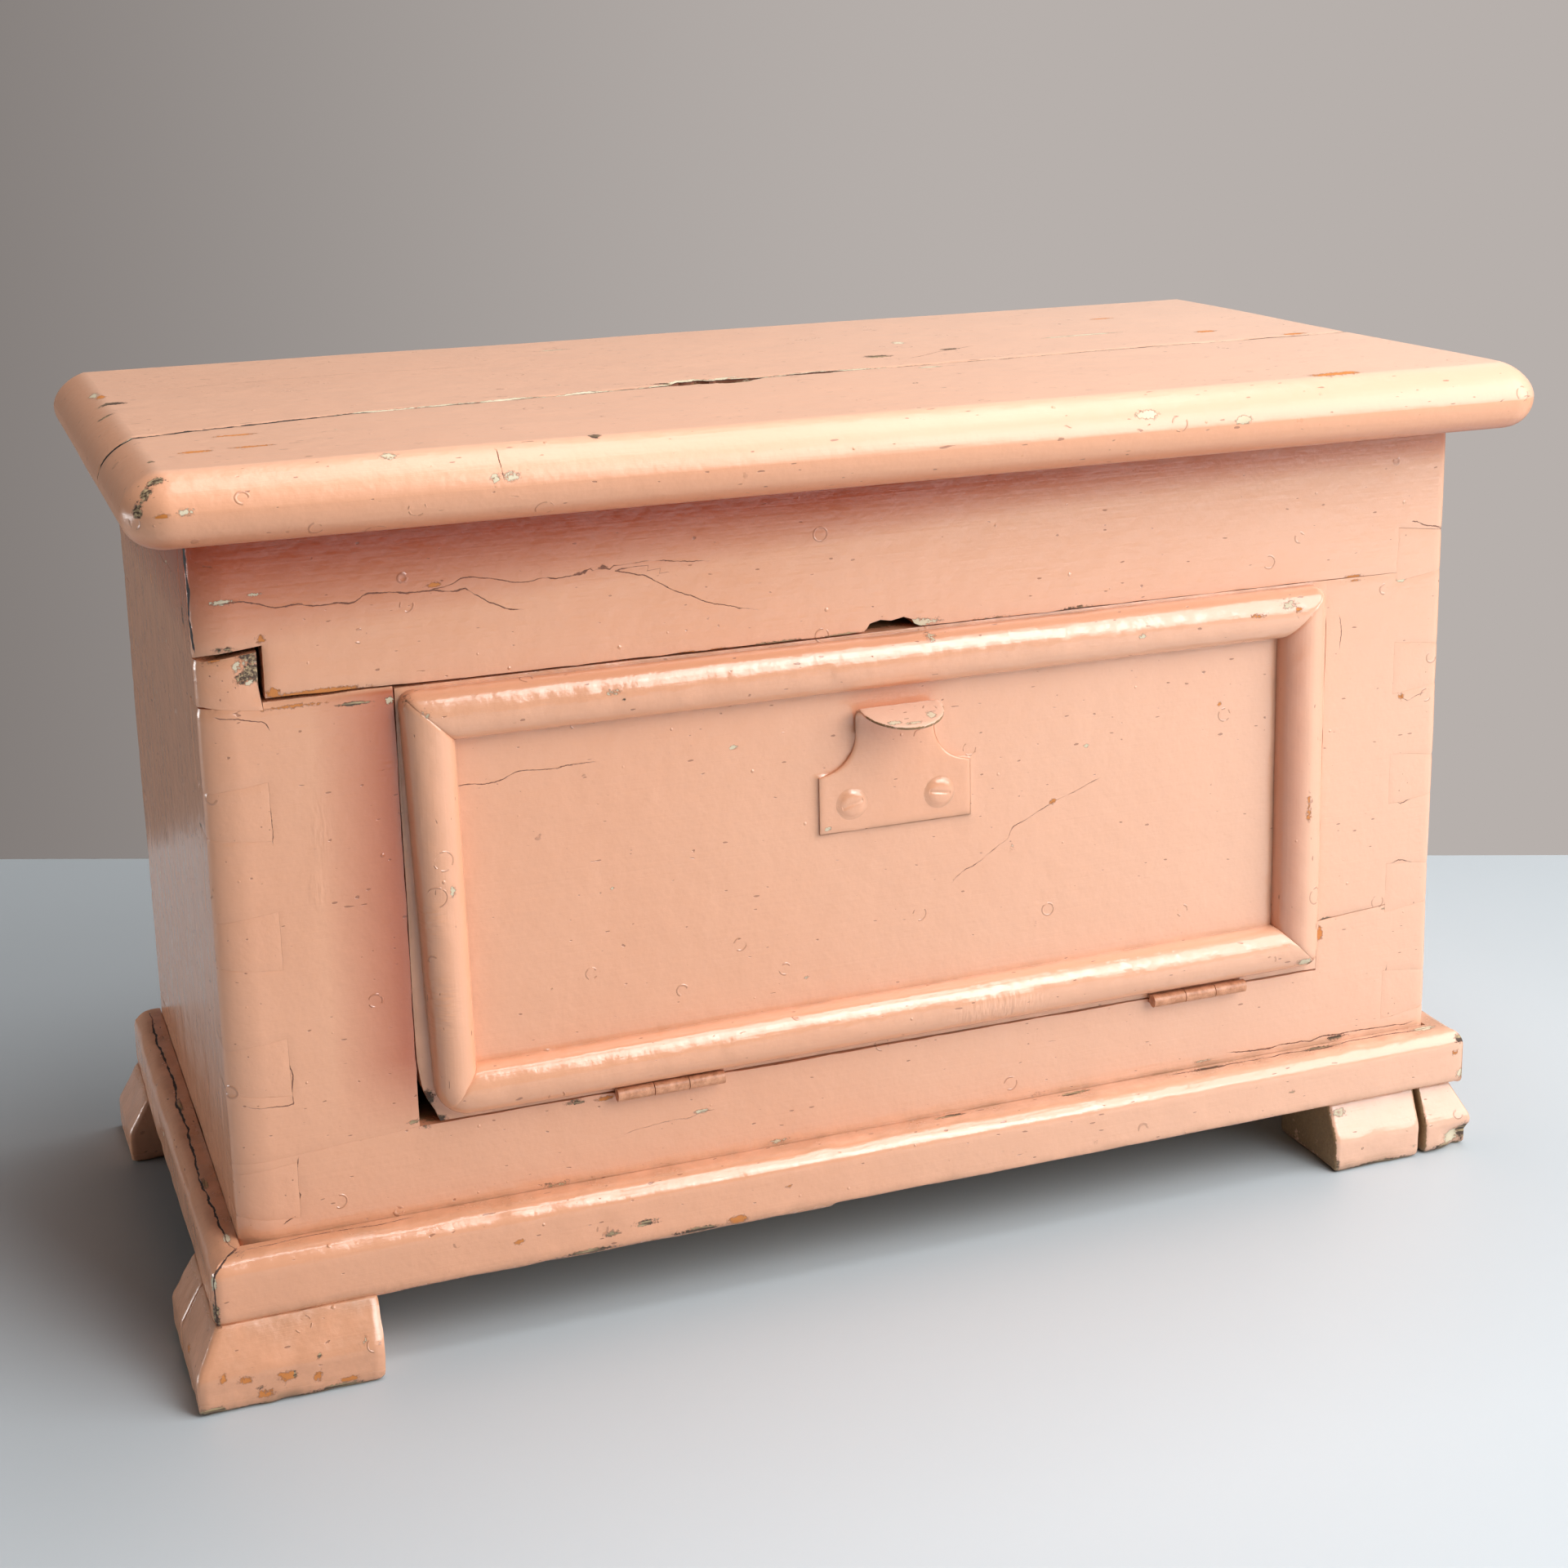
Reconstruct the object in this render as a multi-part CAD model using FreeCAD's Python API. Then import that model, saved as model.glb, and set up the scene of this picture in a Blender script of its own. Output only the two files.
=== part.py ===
import FreeCAD, Part
import os

# Toy box: a small painted pine chest with a lifting lid and a drop-down front flap.
# Millimetres, +Z up, +X right, the front faces -Y.
# The origin is on the floor, under the middle of the whole box.

# Carcass walls
body_width = 450.0
body_depth = 214.0
wall_height = 240.0
wall_thickness = 20.0
front_left_corner_round = 8.0
plain_corner_round = 3.0
top_board_height = 54.0
sill_height = 36.5

# Dovetails of the walls
pin_count = 5
pin_height = 19.5
pin_taper = 2.2
pin_seam_lap = 0.8
bottom_tail_height = 12.0
pins_above_back_seam_count = 3

# Floor of the carcass, two boards
floor_thickness = 15.0
floor_front_board_depth = 112.0

# Plinth moulding round the front and the sides
plinth_thickness = 11.5
plinth_height = 21.5
plinth_top_round = 6.5
plinth_bottom_round = 1.5

# Bracket feet
foot_height = 26.0
foot_reach = 19.5
foot_right_reach = 13.8
foot_right_set_back = 4.4
foot_hip_height = 12.5
foot_front_length = 61.0
foot_side_length = 63.0
foot_front_depth = 40.0
foot_side_width = 31.0
foot_right_side_width = 21.5
back_foot_length = 39.0
back_foot_width = 40.0

# Lid, two boards on loose dowels, with a full nosing on the front and both ends
lid_thickness = 23.5
lid_front_overhang = 31.0
lid_side_overhang = 20.0
lid_seat_gap = 0.3
lid_front_board_left_depth = 82.0
lid_front_board_right_depth = 115.0
lid_corner_extra_round = 2.5
nosing_top_share = 0.51
nosing_bottom_share = 0.46
dowel_radius = 4.0
dowel_length = 44.0
dowel_x_shares = (-0.31, 0.0, 0.31)

# Lid hinges, two iron butts let into the back board's top edge and the lid
lid_hinge_length = 45.0
lid_hinge_leaf_width = 16.0
lid_hinge_leaf_thickness = 1.6
lid_hinge_knuckle_radius = 3.0
lid_hinge_pin_radius = 1.3
lid_hinge_standoff = 0.5
lid_hinge_end_distance = 52.0
lid_hinge_screw_shares = (-0.36, 0.0, 0.36)

# Flap in the front, hung on its bottom edge
left_stile_width = 60.5
right_stile_width = 49.5
flap_thickness = 14.0
flap_side_gap = 1.0
flap_top_gap = 1.5
flap_bottom_gap = 0.6
finger_notch_width = 17.0
finger_notch_depth = 3.0

# Flap hinges, two narrow iron butts under the lower moulding
flap_hinge_length = 38.0
flap_hinge_leaf_width = 11.0
flap_hinge_leaf_thickness = 1.2
flap_hinge_knuckle_radius = 2.3
flap_hinge_pin_radius = 1.0
flap_hinge_standoff = 0.4
flap_hinge_left_inset = 85.5
flap_hinge_right_inset = 51.5
flap_hinge_screw_shares = (-0.3, 0.3)

# Half-round moulding mitred round the flap
moulding_width = 16.0
moulding_step = 1.0
moulding_side_margin = 3.5
moulding_top_margin = 0.6
moulding_hinge_clearance = 0.6
moulding_corner_round = 6.0

# Stop strip behind the flap's top edge
stop_seat_gap = 0.3
stop_hang = 12.0
stop_height = 28.0
stop_thickness = 10.0
stop_end_gap = 20.0

# Stamped pull on the flap
pull_width = 56.0
pull_plate_height = 20.5
pull_neck_width = 29.0
pull_neck_rise = 4.5
pull_sheet = 1.4
pull_bend_radius = 4.0
pull_bend_angle = 104.0
pull_below_moulding = 50.5
pull_screw_spread = 32.4
pull_screw_height = 9.8
pull_screw_head_radius = 4.2
pull_screw_dome = 1.9
pull_screw_shank_radius = 1.6
pull_screw_length = 11.0

# Screws and nails
hinge_screw_head_radius = 2.7
hinge_screw_shank_radius = 1.2
hinge_screw_length = 12.0
flap_screw_head_radius = 2.1
flap_screw_shank_radius = 1.0
flap_screw_length = 10.0
screw_slot_width = 0.8
screw_slot_depth = 0.6
screw_point_length = 2.0
nail_radius = 1.2
nail_head_radius = 2.4
nail_head_thickness = 1.0
nail_sink = 1.5
plinth_nail_length = 32.0
floor_nail_length = 38.0
foot_nail_length = 34.0
brad_radius = 0.7
brad_head_radius = 1.1
brad_length = 18.0
plinth_nail_x_shares = (-0.4, -0.15, 0.12, 0.38)
plinth_nail_y_shares = (0.32, 0.72)
floor_nail_x_shares = (-0.31, -0.1, 0.11, 0.32)
floor_nail_y_share = 0.46
brad_x_shares = (-0.36, 0.02, 0.37)
brad_z_shares = (-0.22, 0.23)

# Clearances
running_fit = 0.05
wood_fit = 0.05
leaf_fit = 0.1
knuckle_gap = 0.3
overrun = 1.0

# Levels and faces worked out from the sizes above
lid_hinge_axis_offset = lid_hinge_standoff + lid_hinge_knuckle_radius
back_reach = lid_hinge_axis_offset + lid_hinge_knuckle_radius
front_y = -(lid_front_overhang + body_depth + back_reach) / 2 + lid_front_overhang
back_y = front_y + body_depth
left_x = -body_width / 2
right_x = body_width / 2
floor_bottom_z = foot_height
wall_bottom_z = floor_bottom_z + floor_thickness
wall_top_z = wall_bottom_z + wall_height
lid_bottom_z = wall_top_z + lid_seat_gap
lid_top_z = lid_bottom_z + lid_thickness

opening_bottom_z = wall_bottom_z + sill_height
opening_top_z = wall_top_z - top_board_height
opening_left_x = left_x + left_stile_width
opening_right_x = right_x - right_stile_width
flap_left_x = opening_left_x + flap_side_gap
flap_right_x = opening_right_x - flap_side_gap
flap_centre_x = (flap_left_x + flap_right_x) / 2
flap_bottom_z = opening_bottom_z + flap_bottom_gap
flap_top_z = opening_top_z - flap_top_gap

flap_axis_y = front_y - flap_hinge_standoff - flap_hinge_knuckle_radius
flap_axis_z = opening_bottom_z + flap_bottom_gap / 2
lid_axis_y = back_y + lid_hinge_axis_offset
lid_axis_z = wall_top_z + lid_seat_gap / 2

moulding_left_x = flap_left_x + moulding_side_margin
moulding_right_x = flap_right_x - moulding_side_margin
moulding_top_z = flap_top_z - moulding_top_margin
moulding_bottom_z = flap_axis_z + flap_hinge_knuckle_radius + moulding_hinge_clearance
pull_bottom_z = moulding_top_z - moulding_width - pull_below_moulding

# Pins stand in one row, from the one above the top seam to the one over the bottom tail.
# A seam between two boards meets the lower part of a pin's end, clear of the pin's taper.
pin_foot_to_seam = pin_taper + pin_seam_lap
top_pin_z = opening_top_z - pin_foot_to_seam + pin_height / 2
bottom_pin_z = wall_bottom_z + bottom_tail_height + pin_height / 2
pin_pitch = (top_pin_z - bottom_pin_z) / (pin_count - 1)
pin_levels = [top_pin_z - pin_pitch * row for row in range(pin_count)]
back_seam_z = pin_levels[pins_above_back_seam_count - 1] - pin_height / 2 + pin_foot_to_seam

# The lower front seam climbs from the flap's bottom corner to the foot of the fourth pin
seam_right_z = pin_levels[pin_count - 2] - pin_height / 2 + pin_foot_to_seam
seam_slope = (seam_right_z - opening_bottom_z) / (right_x - wall_thickness - opening_left_x)


def seam_z(x):
    return opening_bottom_z + seam_slope * (x - opening_left_x)


def block(x0, x1, y0, y1, z0, z1):
    return Part.makeBox(x1 - x0, y1 - y0, z1 - z0, FreeCAD.Vector(x0, y0, z0))


def face_of(points):
    return Part.Face(Part.makePolygon(points + points[:1]))


def prism_xz(points, y0, y1):
    face = face_of([FreeCAD.Vector(x, y0, z) for x, z in points])
    return face.extrude(FreeCAD.Vector(0, y1 - y0, 0))


def prism_yz(points, x0, x1):
    face = face_of([FreeCAD.Vector(x0, y, z) for y, z in points])
    return face.extrude(FreeCAD.Vector(x1 - x0, 0, 0))


def prism_xy(points, z0, z1):
    face = face_of([FreeCAD.Vector(x, y, z0) for x, y in points])
    return face.extrude(FreeCAD.Vector(0, 0, z1 - z0))


def rod(start, direction, radius, length):
    return Part.makeCylinder(radius, length, start, direction)


def cut_all(shape, tools):
    return shape.cut(tools) if tools else shape


def save(name, shape):
    shape.exportStep("parts/" + name + ".step")
    volumes = [round(solid.Volume) for solid in shape.Solids]
    print(name, shape.isValid(), volumes)


# A wall corner in plan: the rounded upright prism that every wall board stays inside
def wall_envelope():
    prism = block(left_x, right_x, front_y, back_y, wall_bottom_z, wall_top_z)
    for edge in uprights(prism, left_x, front_y):
        prism = prism.makeFillet(front_left_corner_round, [edge])
    for x, y in ((right_x, front_y), (left_x, back_y), (right_x, back_y)):
        for edge in uprights(prism, x, y):
            prism = prism.makeFillet(plain_corner_round, [edge])
    return prism


def uprights(shape, x, y):
    found = []
    for edge in shape.Edges:
        box = edge.BoundBox
        near = abs(box.Center.x - x) < plain_corner_round and abs(box.Center.y - y) < plain_corner_round
        if near and box.ZLength > wall_height / 2:
            found.append(edge)
    return found


# One dovetail pin, narrow at the outside, running right through the board it locks
def pin_prism(side, y0, y1, level, beyond):
    shoulder = side * (body_width / 2 - wall_thickness)
    outside = side * (body_width / 2 + beyond)
    outer_half = pin_height / 2 - pin_taper * (wall_thickness + beyond) / wall_thickness
    inner_half = pin_height / 2
    points = [(shoulder, level - inner_half), (outside, level - outer_half),
              (outside, level + outer_half), (shoulder, level + inner_half)]
    return prism_xz(points, y0, y1)


def pin_sockets(y0, y1):
    tools = []
    for side in (-1, 1):
        for level in pin_levels:
            tools.append(pin_prism(side, y0 - overrun, y1 + overrun, level, overrun))
    return tools


def side_board(side, envelope):
    inner = side * (body_width / 2 - wall_thickness)
    outer = side * body_width / 2
    board = block(min(inner, outer), max(inner, outer), front_y + wall_thickness,
                  back_y - wall_thickness, wall_bottom_z, wall_top_z)
    pins = []
    for level in pin_levels:
        pins.append(pin_prism(side, front_y, front_y + wall_thickness, level, 0))
        pins.append(pin_prism(side, back_y - wall_thickness, back_y, level, 0))
    return board.fuse(pins).removeSplitter().common(envelope)


def tail_board(points, y0, envelope, cuts):
    board = prism_xz(points, y0, y0 + wall_thickness).common(envelope)
    return cut_all(board, pin_sockets(y0, y0 + wall_thickness) + cuts)


# Hinges. A hinge is worked out about its own axis, which runs along X.
# inward is +1 or -1, the way along Y that the leaves reach; upper is +1, lower is -1.
class Butt:
    def __init__(self, x, y, z, inward, sizes):
        self.x, self.y, self.z, self.inward = x, y, z, inward
        self.length, self.width, self.thickness, self.radius = sizes[:4]
        self.pin_radius, self.standoff, self.gap, self.screw_shares = sizes[4:]
        self.reach = self.standoff + self.radius + self.width

    def block(self, x0, x1, v0, v1, z0, z1):
        ys = sorted((self.y + self.inward * v0, self.y + self.inward * v1))
        zs = sorted((self.z + z0, self.z + z1))
        return block(self.x + x0, self.x + x1, ys[0], ys[1], zs[0], zs[1])

    def barrel(self, start, end, radius):
        place = FreeCAD.Vector(self.x + start, self.y, self.z)
        return rod(place, FreeCAD.Vector(1, 0, 0), radius, end - start)

    def stretches(self):
        half = self.length / 2
        third = self.length / 3
        lower = [(-half, -half + third), (half - third, half)]
        upper = [(-half + third + knuckle_gap, half - third - knuckle_gap)]
        return lower, upper

    def leaf(self, level, screw):
        lower, upper = self.stretches()
        own, other = (upper, lower) if level > 0 else (lower, upper)
        half = self.length / 2
        near = level * self.gap / 2
        far = level * (self.gap / 2 + self.thickness)
        shape = self.block(-half, half, 0, self.reach, near, far)
        clear = self.radius + knuckle_gap
        for start, end in other:
            shape = shape.cut(self.block(start - knuckle_gap, end + knuckle_gap, -clear, clear, -clear, clear))
        for start, end in own:
            shape = shape.fuse(self.barrel(start, end, self.radius))
        shape = shape.cut(self.barrel(-half - overrun, half + overrun, self.pin_radius + running_fit))
        return shape.cut(self.screws(level, screw, wood_fit)).removeSplitter()

    def pin(self):
        return self.barrel(-self.length / 2, self.length / 2, self.pin_radius)

    # The shallow bed for a leaf, open towards the knuckle
    def bed(self, level):
        half = self.length / 2 + leaf_fit
        near = level * (self.gap / 2 - overrun)
        far = level * (self.gap / 2 + self.thickness)
        return self.block(-half, half, 0, self.reach + leaf_fit, near, far)

    # Countersunk screws of one leaf; grown a little they are the tools for their holes
    def screws(self, level, screw, grow):
        head_radius, shank_radius, length = screw
        middle = self.standoff + self.radius + self.width / 2
        made = []
        for share in self.screw_shares:
            top = FreeCAD.Vector(self.x + share * self.length, self.y + self.inward * middle,
                                 self.z + level * self.gap / 2)
            made.append(sunk_screw(top, level, head_radius, shank_radius, self.thickness, length, grow))
        return Part.makeCompound(made)


def sunk_screw(top, level, head_radius, shank_radius, head_height, length, grow):
    down = FreeCAD.Vector(0, 0, level)
    head = Part.makeCone(head_radius + grow, shank_radius + grow, head_height, top, down)
    shank = rod(top, down, shank_radius + grow, length - screw_point_length)
    tip_start = top + down * (length - screw_point_length)
    tip = Part.makeCone(shank_radius + grow, 0, screw_point_length + grow, tip_start, down)
    screw = head.fuse([shank, tip]).removeSplitter()
    if grow > 0:
        return screw
    slot_z = sorted((top.z - level * overrun, top.z + level * screw_slot_depth))
    half_slot = screw_slot_width / 2
    long_half = head_radius + overrun
    return screw.cut(block(top.x - long_half, top.x + long_half, top.y - half_slot, top.y + half_slot,
                           slot_z[0], slot_z[1]))


# Nails: a flat head sunk below the surface. The grown form is the tool for its hole.
def nail(surface, direction, length, radius, head_radius, grow):
    sink = 0 if grow > 0 else nail_sink
    start = surface + direction * sink
    head_height = nail_head_thickness + nail_sink - sink + grow
    head = rod(start, direction, head_radius + grow, head_height)
    shank = rod(start, direction, radius + grow, nail_sink - sink + length + grow)
    return head.fuse(shank).removeSplitter()


def nail_set(places, direction, length, radius, head_radius):
    nails = [nail(place, direction, length, radius, head_radius, 0) for place in places]
    holes = [nail(place, direction, length, radius, head_radius, wood_fit) for place in places]
    return nails, holes


def plinth_nails():
    nails, holes = [], []
    level = floor_bottom_z + floor_thickness / 2
    front = [FreeCAD.Vector(share * body_width, front_y - plinth_thickness, level)
             for share in plinth_nail_x_shares]
    sets = [(front, FreeCAD.Vector(0, 1, 0))]
    for side in (-1, 1):
        x = side * (body_width / 2 + plinth_thickness)
        row = [FreeCAD.Vector(x, front_y + share * body_depth, level) for share in plinth_nail_y_shares]
        sets.append((row, FreeCAD.Vector(-side, 0, 0)))
    for places, direction in sets:
        made = nail_set(places, direction, plinth_nail_length, nail_radius, nail_head_radius)
        nails += made[0]
        holes += made[1]
    return nails, holes


def floor_nails():
    places = []
    for y in (front_y + wall_thickness / 2, back_y - wall_thickness / 2):
        places += [FreeCAD.Vector(share * body_width, y, floor_bottom_z) for share in floor_nail_x_shares]
    for side in (-1, 1):
        x = side * (body_width / 2 - wall_thickness / 2)
        places.append(FreeCAD.Vector(x, front_y + floor_nail_y_share * body_depth, floor_bottom_z))
    up = FreeCAD.Vector(0, 0, 1)
    return nail_set(places, up, floor_nail_length, nail_radius, nail_head_radius)


# Feet: one low hipped slab on each side, from which its blocks are taken
def foot_envelope(side, reach, set_back):
    wide = side * (body_width / 2 + reach)
    narrow = side * (body_width / 2 + plinth_thickness - set_back)
    front = front_y - reach
    top_front = front_y - plinth_thickness + set_back
    across = [(0, 0), (wide, 0), (wide, foot_hip_height), (narrow, foot_height), (0, foot_height)]
    along = [(front, 0), (front, foot_hip_height), (top_front, foot_height), (back_y, foot_height), (back_y, 0)]
    slab = prism_xz(across[::side], front, back_y)
    return slab.common(prism_yz(along, min(0, wide), max(0, wide)))


def foot_blocks():
    outer = body_width / 2 + foot_reach
    front = front_y - foot_reach
    depth = front + foot_front_depth
    side_end = front + foot_side_length
    right_outer = body_width / 2 + foot_right_reach
    right_front = front_y - foot_right_reach
    split = right_outer - foot_right_side_width
    back_start = back_y - back_foot_length
    # The left foot's front block covers the corner; on the right the side block comes through to the front
    return {
        "foot_front_left_front_block": (-outer, -outer + foot_front_length, front, depth),
        "foot_front_left_side_block": (-outer, -outer + foot_side_width, depth, side_end),
        "foot_front_right_front_block": (right_outer - foot_front_length, split, right_front,
                                         right_front + foot_front_depth),
        "foot_front_right_side_block": (split, right_outer, right_front, right_front + foot_side_length),
        "foot_back_left_block": (-outer, -outer + back_foot_width, back_start, back_y),
        "foot_back_right_block": (right_outer - back_foot_width, right_outer, back_start, back_y),
    }


# A foot's nail stands in the middle of what the block and the floor board above it share
def foot_nail_place(plan):
    x0, x1, y0, y1 = plan
    x = (max(x0, left_x) + min(x1, right_x)) / 2
    y = (max(y0, front_y) + min(y1, back_y)) / 2
    return FreeCAD.Vector(x, y, 0)


# Plinth: a flat strip with a round top outer edge
def plinth_profile(place, outward):
    def at(out, up):
        return place + outward * out + FreeCAD.Vector(0, 0, up)

    t, h, r, s = plinth_thickness, plinth_height, plinth_top_round, plinth_bottom_round
    bend = 1 - 0.5 ** 0.5
    edges = [
        Part.LineSegment(at(0, 0), at(t - s, 0)),
        Part.Arc(at(t - s, 0), at(t - s * bend, s * bend), at(t, s)),
        Part.LineSegment(at(t, s), at(t, h - r)),
        Part.Arc(at(t, h - r), at(t - r * bend, h - r * bend), at(t - r, h)),
        Part.LineSegment(at(t - r, h), at(0, h)),
        Part.LineSegment(at(0, h), at(0, 0)),
    ]
    return Part.Face(Part.Wire([edge.toShape() for edge in edges]))


def plinth_pieces():
    t = plinth_thickness
    length = body_width + 2 * t
    low = floor_bottom_z - overrun
    high = floor_bottom_z + plinth_height + overrun
    start = FreeCAD.Vector(left_x - t, front_y, floor_bottom_z)
    front = plinth_profile(start, FreeCAD.Vector(0, -1, 0)).extrude(FreeCAD.Vector(length, 0, 0))
    mitred = [(left_x - t, front_y - t), (right_x + t, front_y - t), (right_x, front_y), (left_x, front_y)]
    pieces = {"plinth_front": front.common(prism_xy(mitred, low, high))}
    for name, side in (("plinth_left", -1), ("plinth_right", 1)):
        inner = side * body_width / 2
        outer = side * (body_width / 2 + t)
        start = FreeCAD.Vector(inner, front_y - t, floor_bottom_z)
        strip = plinth_profile(start, FreeCAD.Vector(side, 0, 0)).extrude(FreeCAD.Vector(0, body_depth + t, 0))
        plan = [(outer, front_y - t), (inner, front_y), (inner, back_y), (outer, back_y)]
        pieces[name] = strip.common(prism_xy(plan, low, high))
    return pieces


# Lid: one slab with its nosing, then sawn along the joint
def lid_slab():
    x = body_width / 2 + lid_side_overhang
    front = front_y - lid_front_overhang
    top_round = lid_thickness * nosing_top_share
    bottom_round = lid_thickness * nosing_bottom_share
    corner_round = top_round + lid_corner_extra_round
    slab = block(-x, x, front, back_y, lid_bottom_z, lid_top_z)
    corners = [edge for edge in slab.Edges
               if edge.BoundBox.ZLength > lid_thickness / 2 and edge.BoundBox.YMin < front_y]
    slab = slab.makeFillet(corner_round, corners)
    for level, radius in ((lid_top_z, top_round), (lid_bottom_z, bottom_round)):
        rim = [edge for edge in slab.Edges
               if abs(edge.BoundBox.ZMin - level) < overrun and edge.BoundBox.ZLength < overrun
               and edge.BoundBox.YMin < back_y - overrun]
        slab = slab.makeFillet(radius, rim)
    return slab


def lid_joint_y(x):
    reach = body_width / 2 + lid_side_overhang
    share = (x + reach) / (2 * reach)
    depth = lid_front_board_left_depth + share * (lid_front_board_right_depth - lid_front_board_left_depth)
    return front_y - lid_front_overhang + depth


def lid_dowels(grow):
    middle_z = (lid_bottom_z + lid_top_z) / 2
    width = body_width + 2 * lid_side_overhang
    dowels = []
    for share in dowel_x_shares:
        x = share * width
        start = FreeCAD.Vector(x, lid_joint_y(x) - dowel_length / 2 - grow, middle_z)
        dowels.append(rod(start, FreeCAD.Vector(0, 1, 0), dowel_radius + grow, dowel_length + 2 * grow))
    return dowels


# Half-round moulding, four mitred lengths with eased outer corners
def moulding_profile(place, across):
    def at(out, along):
        return place + FreeCAD.Vector(0, -out, 0) + across * along

    half = moulding_width / 2
    peak = moulding_step + half
    edges = [
        Part.LineSegment(at(0, -half), at(moulding_step, -half)),
        Part.Arc(at(moulding_step, -half), at(peak, 0), at(moulding_step, half)),
        Part.LineSegment(at(moulding_step, half), at(0, half)),
        Part.LineSegment(at(0, half), at(0, -half)),
    ]
    return Part.Face(Part.Wire([edge.toShape() for edge in edges]))


def moulding_pieces():
    l, r, b, t = moulding_left_x, moulding_right_x, moulding_bottom_z, moulding_top_z
    w = moulding_width
    proud = moulding_step + w / 2
    low_y = front_y - proud - overrun
    frame = block(l, r, low_y, front_y, b, t)
    corners = [edge for edge in frame.Edges if edge.BoundBox.YLength > proud]
    frame = frame.makeFillet(moulding_corner_round, corners)
    outer = {"left": ((l, b), (l, t)), "right": ((r, t), (r, b)), "top": ((l, t), (r, t)), "bottom": ((r, b), (l, b))}
    inner = {"left": ((l + w, t - w), (l + w, b + w)), "right": ((r - w, b + w), (r - w, t - w)),
             "top": ((r - w, t - w), (l + w, t - w)), "bottom": ((l + w, b + w), (r - w, b + w))}
    pieces = {}
    for name in outer:
        if name in ("top", "bottom"):
            level = t - w / 2 if name == "top" else b + w / 2
            bar = moulding_profile(FreeCAD.Vector(l, front_y, level), FreeCAD.Vector(0, 0, 1))
            bar = bar.extrude(FreeCAD.Vector(r - l, 0, 0))
        else:
            x = l + w / 2 if name == "left" else r - w / 2
            bar = moulding_profile(FreeCAD.Vector(x, front_y, b), FreeCAD.Vector(1, 0, 0))
            bar = bar.extrude(FreeCAD.Vector(0, 0, t - b))
        mitre = prism_xz(list(outer[name]) + list(inner[name]), low_y, front_y)
        pieces["flap_moulding_" + name] = bar.common(mitre).common(frame)
    return pieces


def moulding_brads():
    into = FreeCAD.Vector(0, 1, 0)
    surface = front_y - moulding_step - moulding_width / 2
    middle_x = (moulding_left_x + moulding_right_x) / 2
    middle_z = (moulding_bottom_z + moulding_top_z) / 2
    width = flap_right_x - flap_left_x
    height = moulding_top_z - moulding_bottom_z
    places = []
    for z in (moulding_bottom_z + moulding_width / 2, moulding_top_z - moulding_width / 2):
        places += [FreeCAD.Vector(middle_x + share * width, surface, z) for share in brad_x_shares]
    for x in (moulding_left_x + moulding_width / 2, moulding_right_x - moulding_width / 2):
        places += [FreeCAD.Vector(x, surface, middle_z + share * height) for share in brad_z_shares]
    return nail_set(places, into, brad_length, brad_radius, brad_head_radius)


# Pull: a flat plate with quarter-round shoulders, a neck, and a half-round lip bent forwards
def pull_plate(holes):
    half = pull_width / 2
    neck = pull_neck_width / 2
    shoulder = half - neck
    neck_z = pull_bottom_z + pull_plate_height + shoulder
    bend_z = neck_z + pull_neck_rise
    back = front_y
    front = front_y - pull_sheet
    x = flap_centre_x
    plate = block(x - half, x + half, front, back, pull_bottom_z, neck_z)
    for side in (-1, 1):
        corner = FreeCAD.Vector(x + side * half, front - overrun, neck_z)
        plate = plate.cut(rod(corner, FreeCAD.Vector(0, 1, 0), shoulder, pull_sheet + 2 * overrun))
    plate = plate.fuse(block(x - neck, x + neck, front, back, neck_z, bend_z))
    axis_point = FreeCAD.Vector(x, front - pull_bend_radius, bend_z)
    axis = FreeCAD.Vector(1, 0, 0)
    root = face_of([FreeCAD.Vector(x - neck, front, bend_z), FreeCAD.Vector(x + neck, front, bend_z),
                    FreeCAD.Vector(x + neck, back, bend_z), FreeCAD.Vector(x - neck, back, bend_z)])
    bend = root.revolve(axis_point, axis, pull_bend_angle)
    lip = rod(FreeCAD.Vector(x, front, bend_z), FreeCAD.Vector(0, 1, 0), neck, pull_sheet)
    lip = lip.common(block(x - neck, x + neck, front, back, bend_z, bend_z + neck))
    lip.rotate(axis_point, axis, pull_bend_angle)
    return plate.fuse([bend, lip]).removeSplitter().cut(holes)


def pull_screws(grow):
    into = FreeCAD.Vector(0, 1, 0)
    surface = front_y - pull_sheet
    dome_radius = (pull_screw_head_radius ** 2 + pull_screw_dome ** 2) / (2 * pull_screw_dome)
    level = pull_bottom_z + pull_screw_height
    made = []
    for side in (-1, 1):
        seat = FreeCAD.Vector(flap_centre_x + side * pull_screw_spread / 2, surface, level)
        shank = rod(seat, into, pull_screw_shank_radius + grow, pull_sheet + pull_screw_length + grow)
        if grow > 0:
            made.append(shank)
            continue
        ball = Part.makeSphere(dome_radius, seat + into * (dome_radius - pull_screw_dome))
        r = pull_screw_head_radius + overrun
        head = ball.common(block(seat.x - r, seat.x + r, surface - pull_screw_dome - overrun, surface,
                                 level - r, level + r))
        half_slot = screw_slot_width / 2
        slot = block(seat.x - half_slot, seat.x + half_slot, surface - pull_screw_dome - overrun,
                     surface - pull_screw_dome + screw_slot_depth, level - r, level + r)
        made.append(head.fuse(shank).cut(slot).removeSplitter())
    return made


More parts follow.
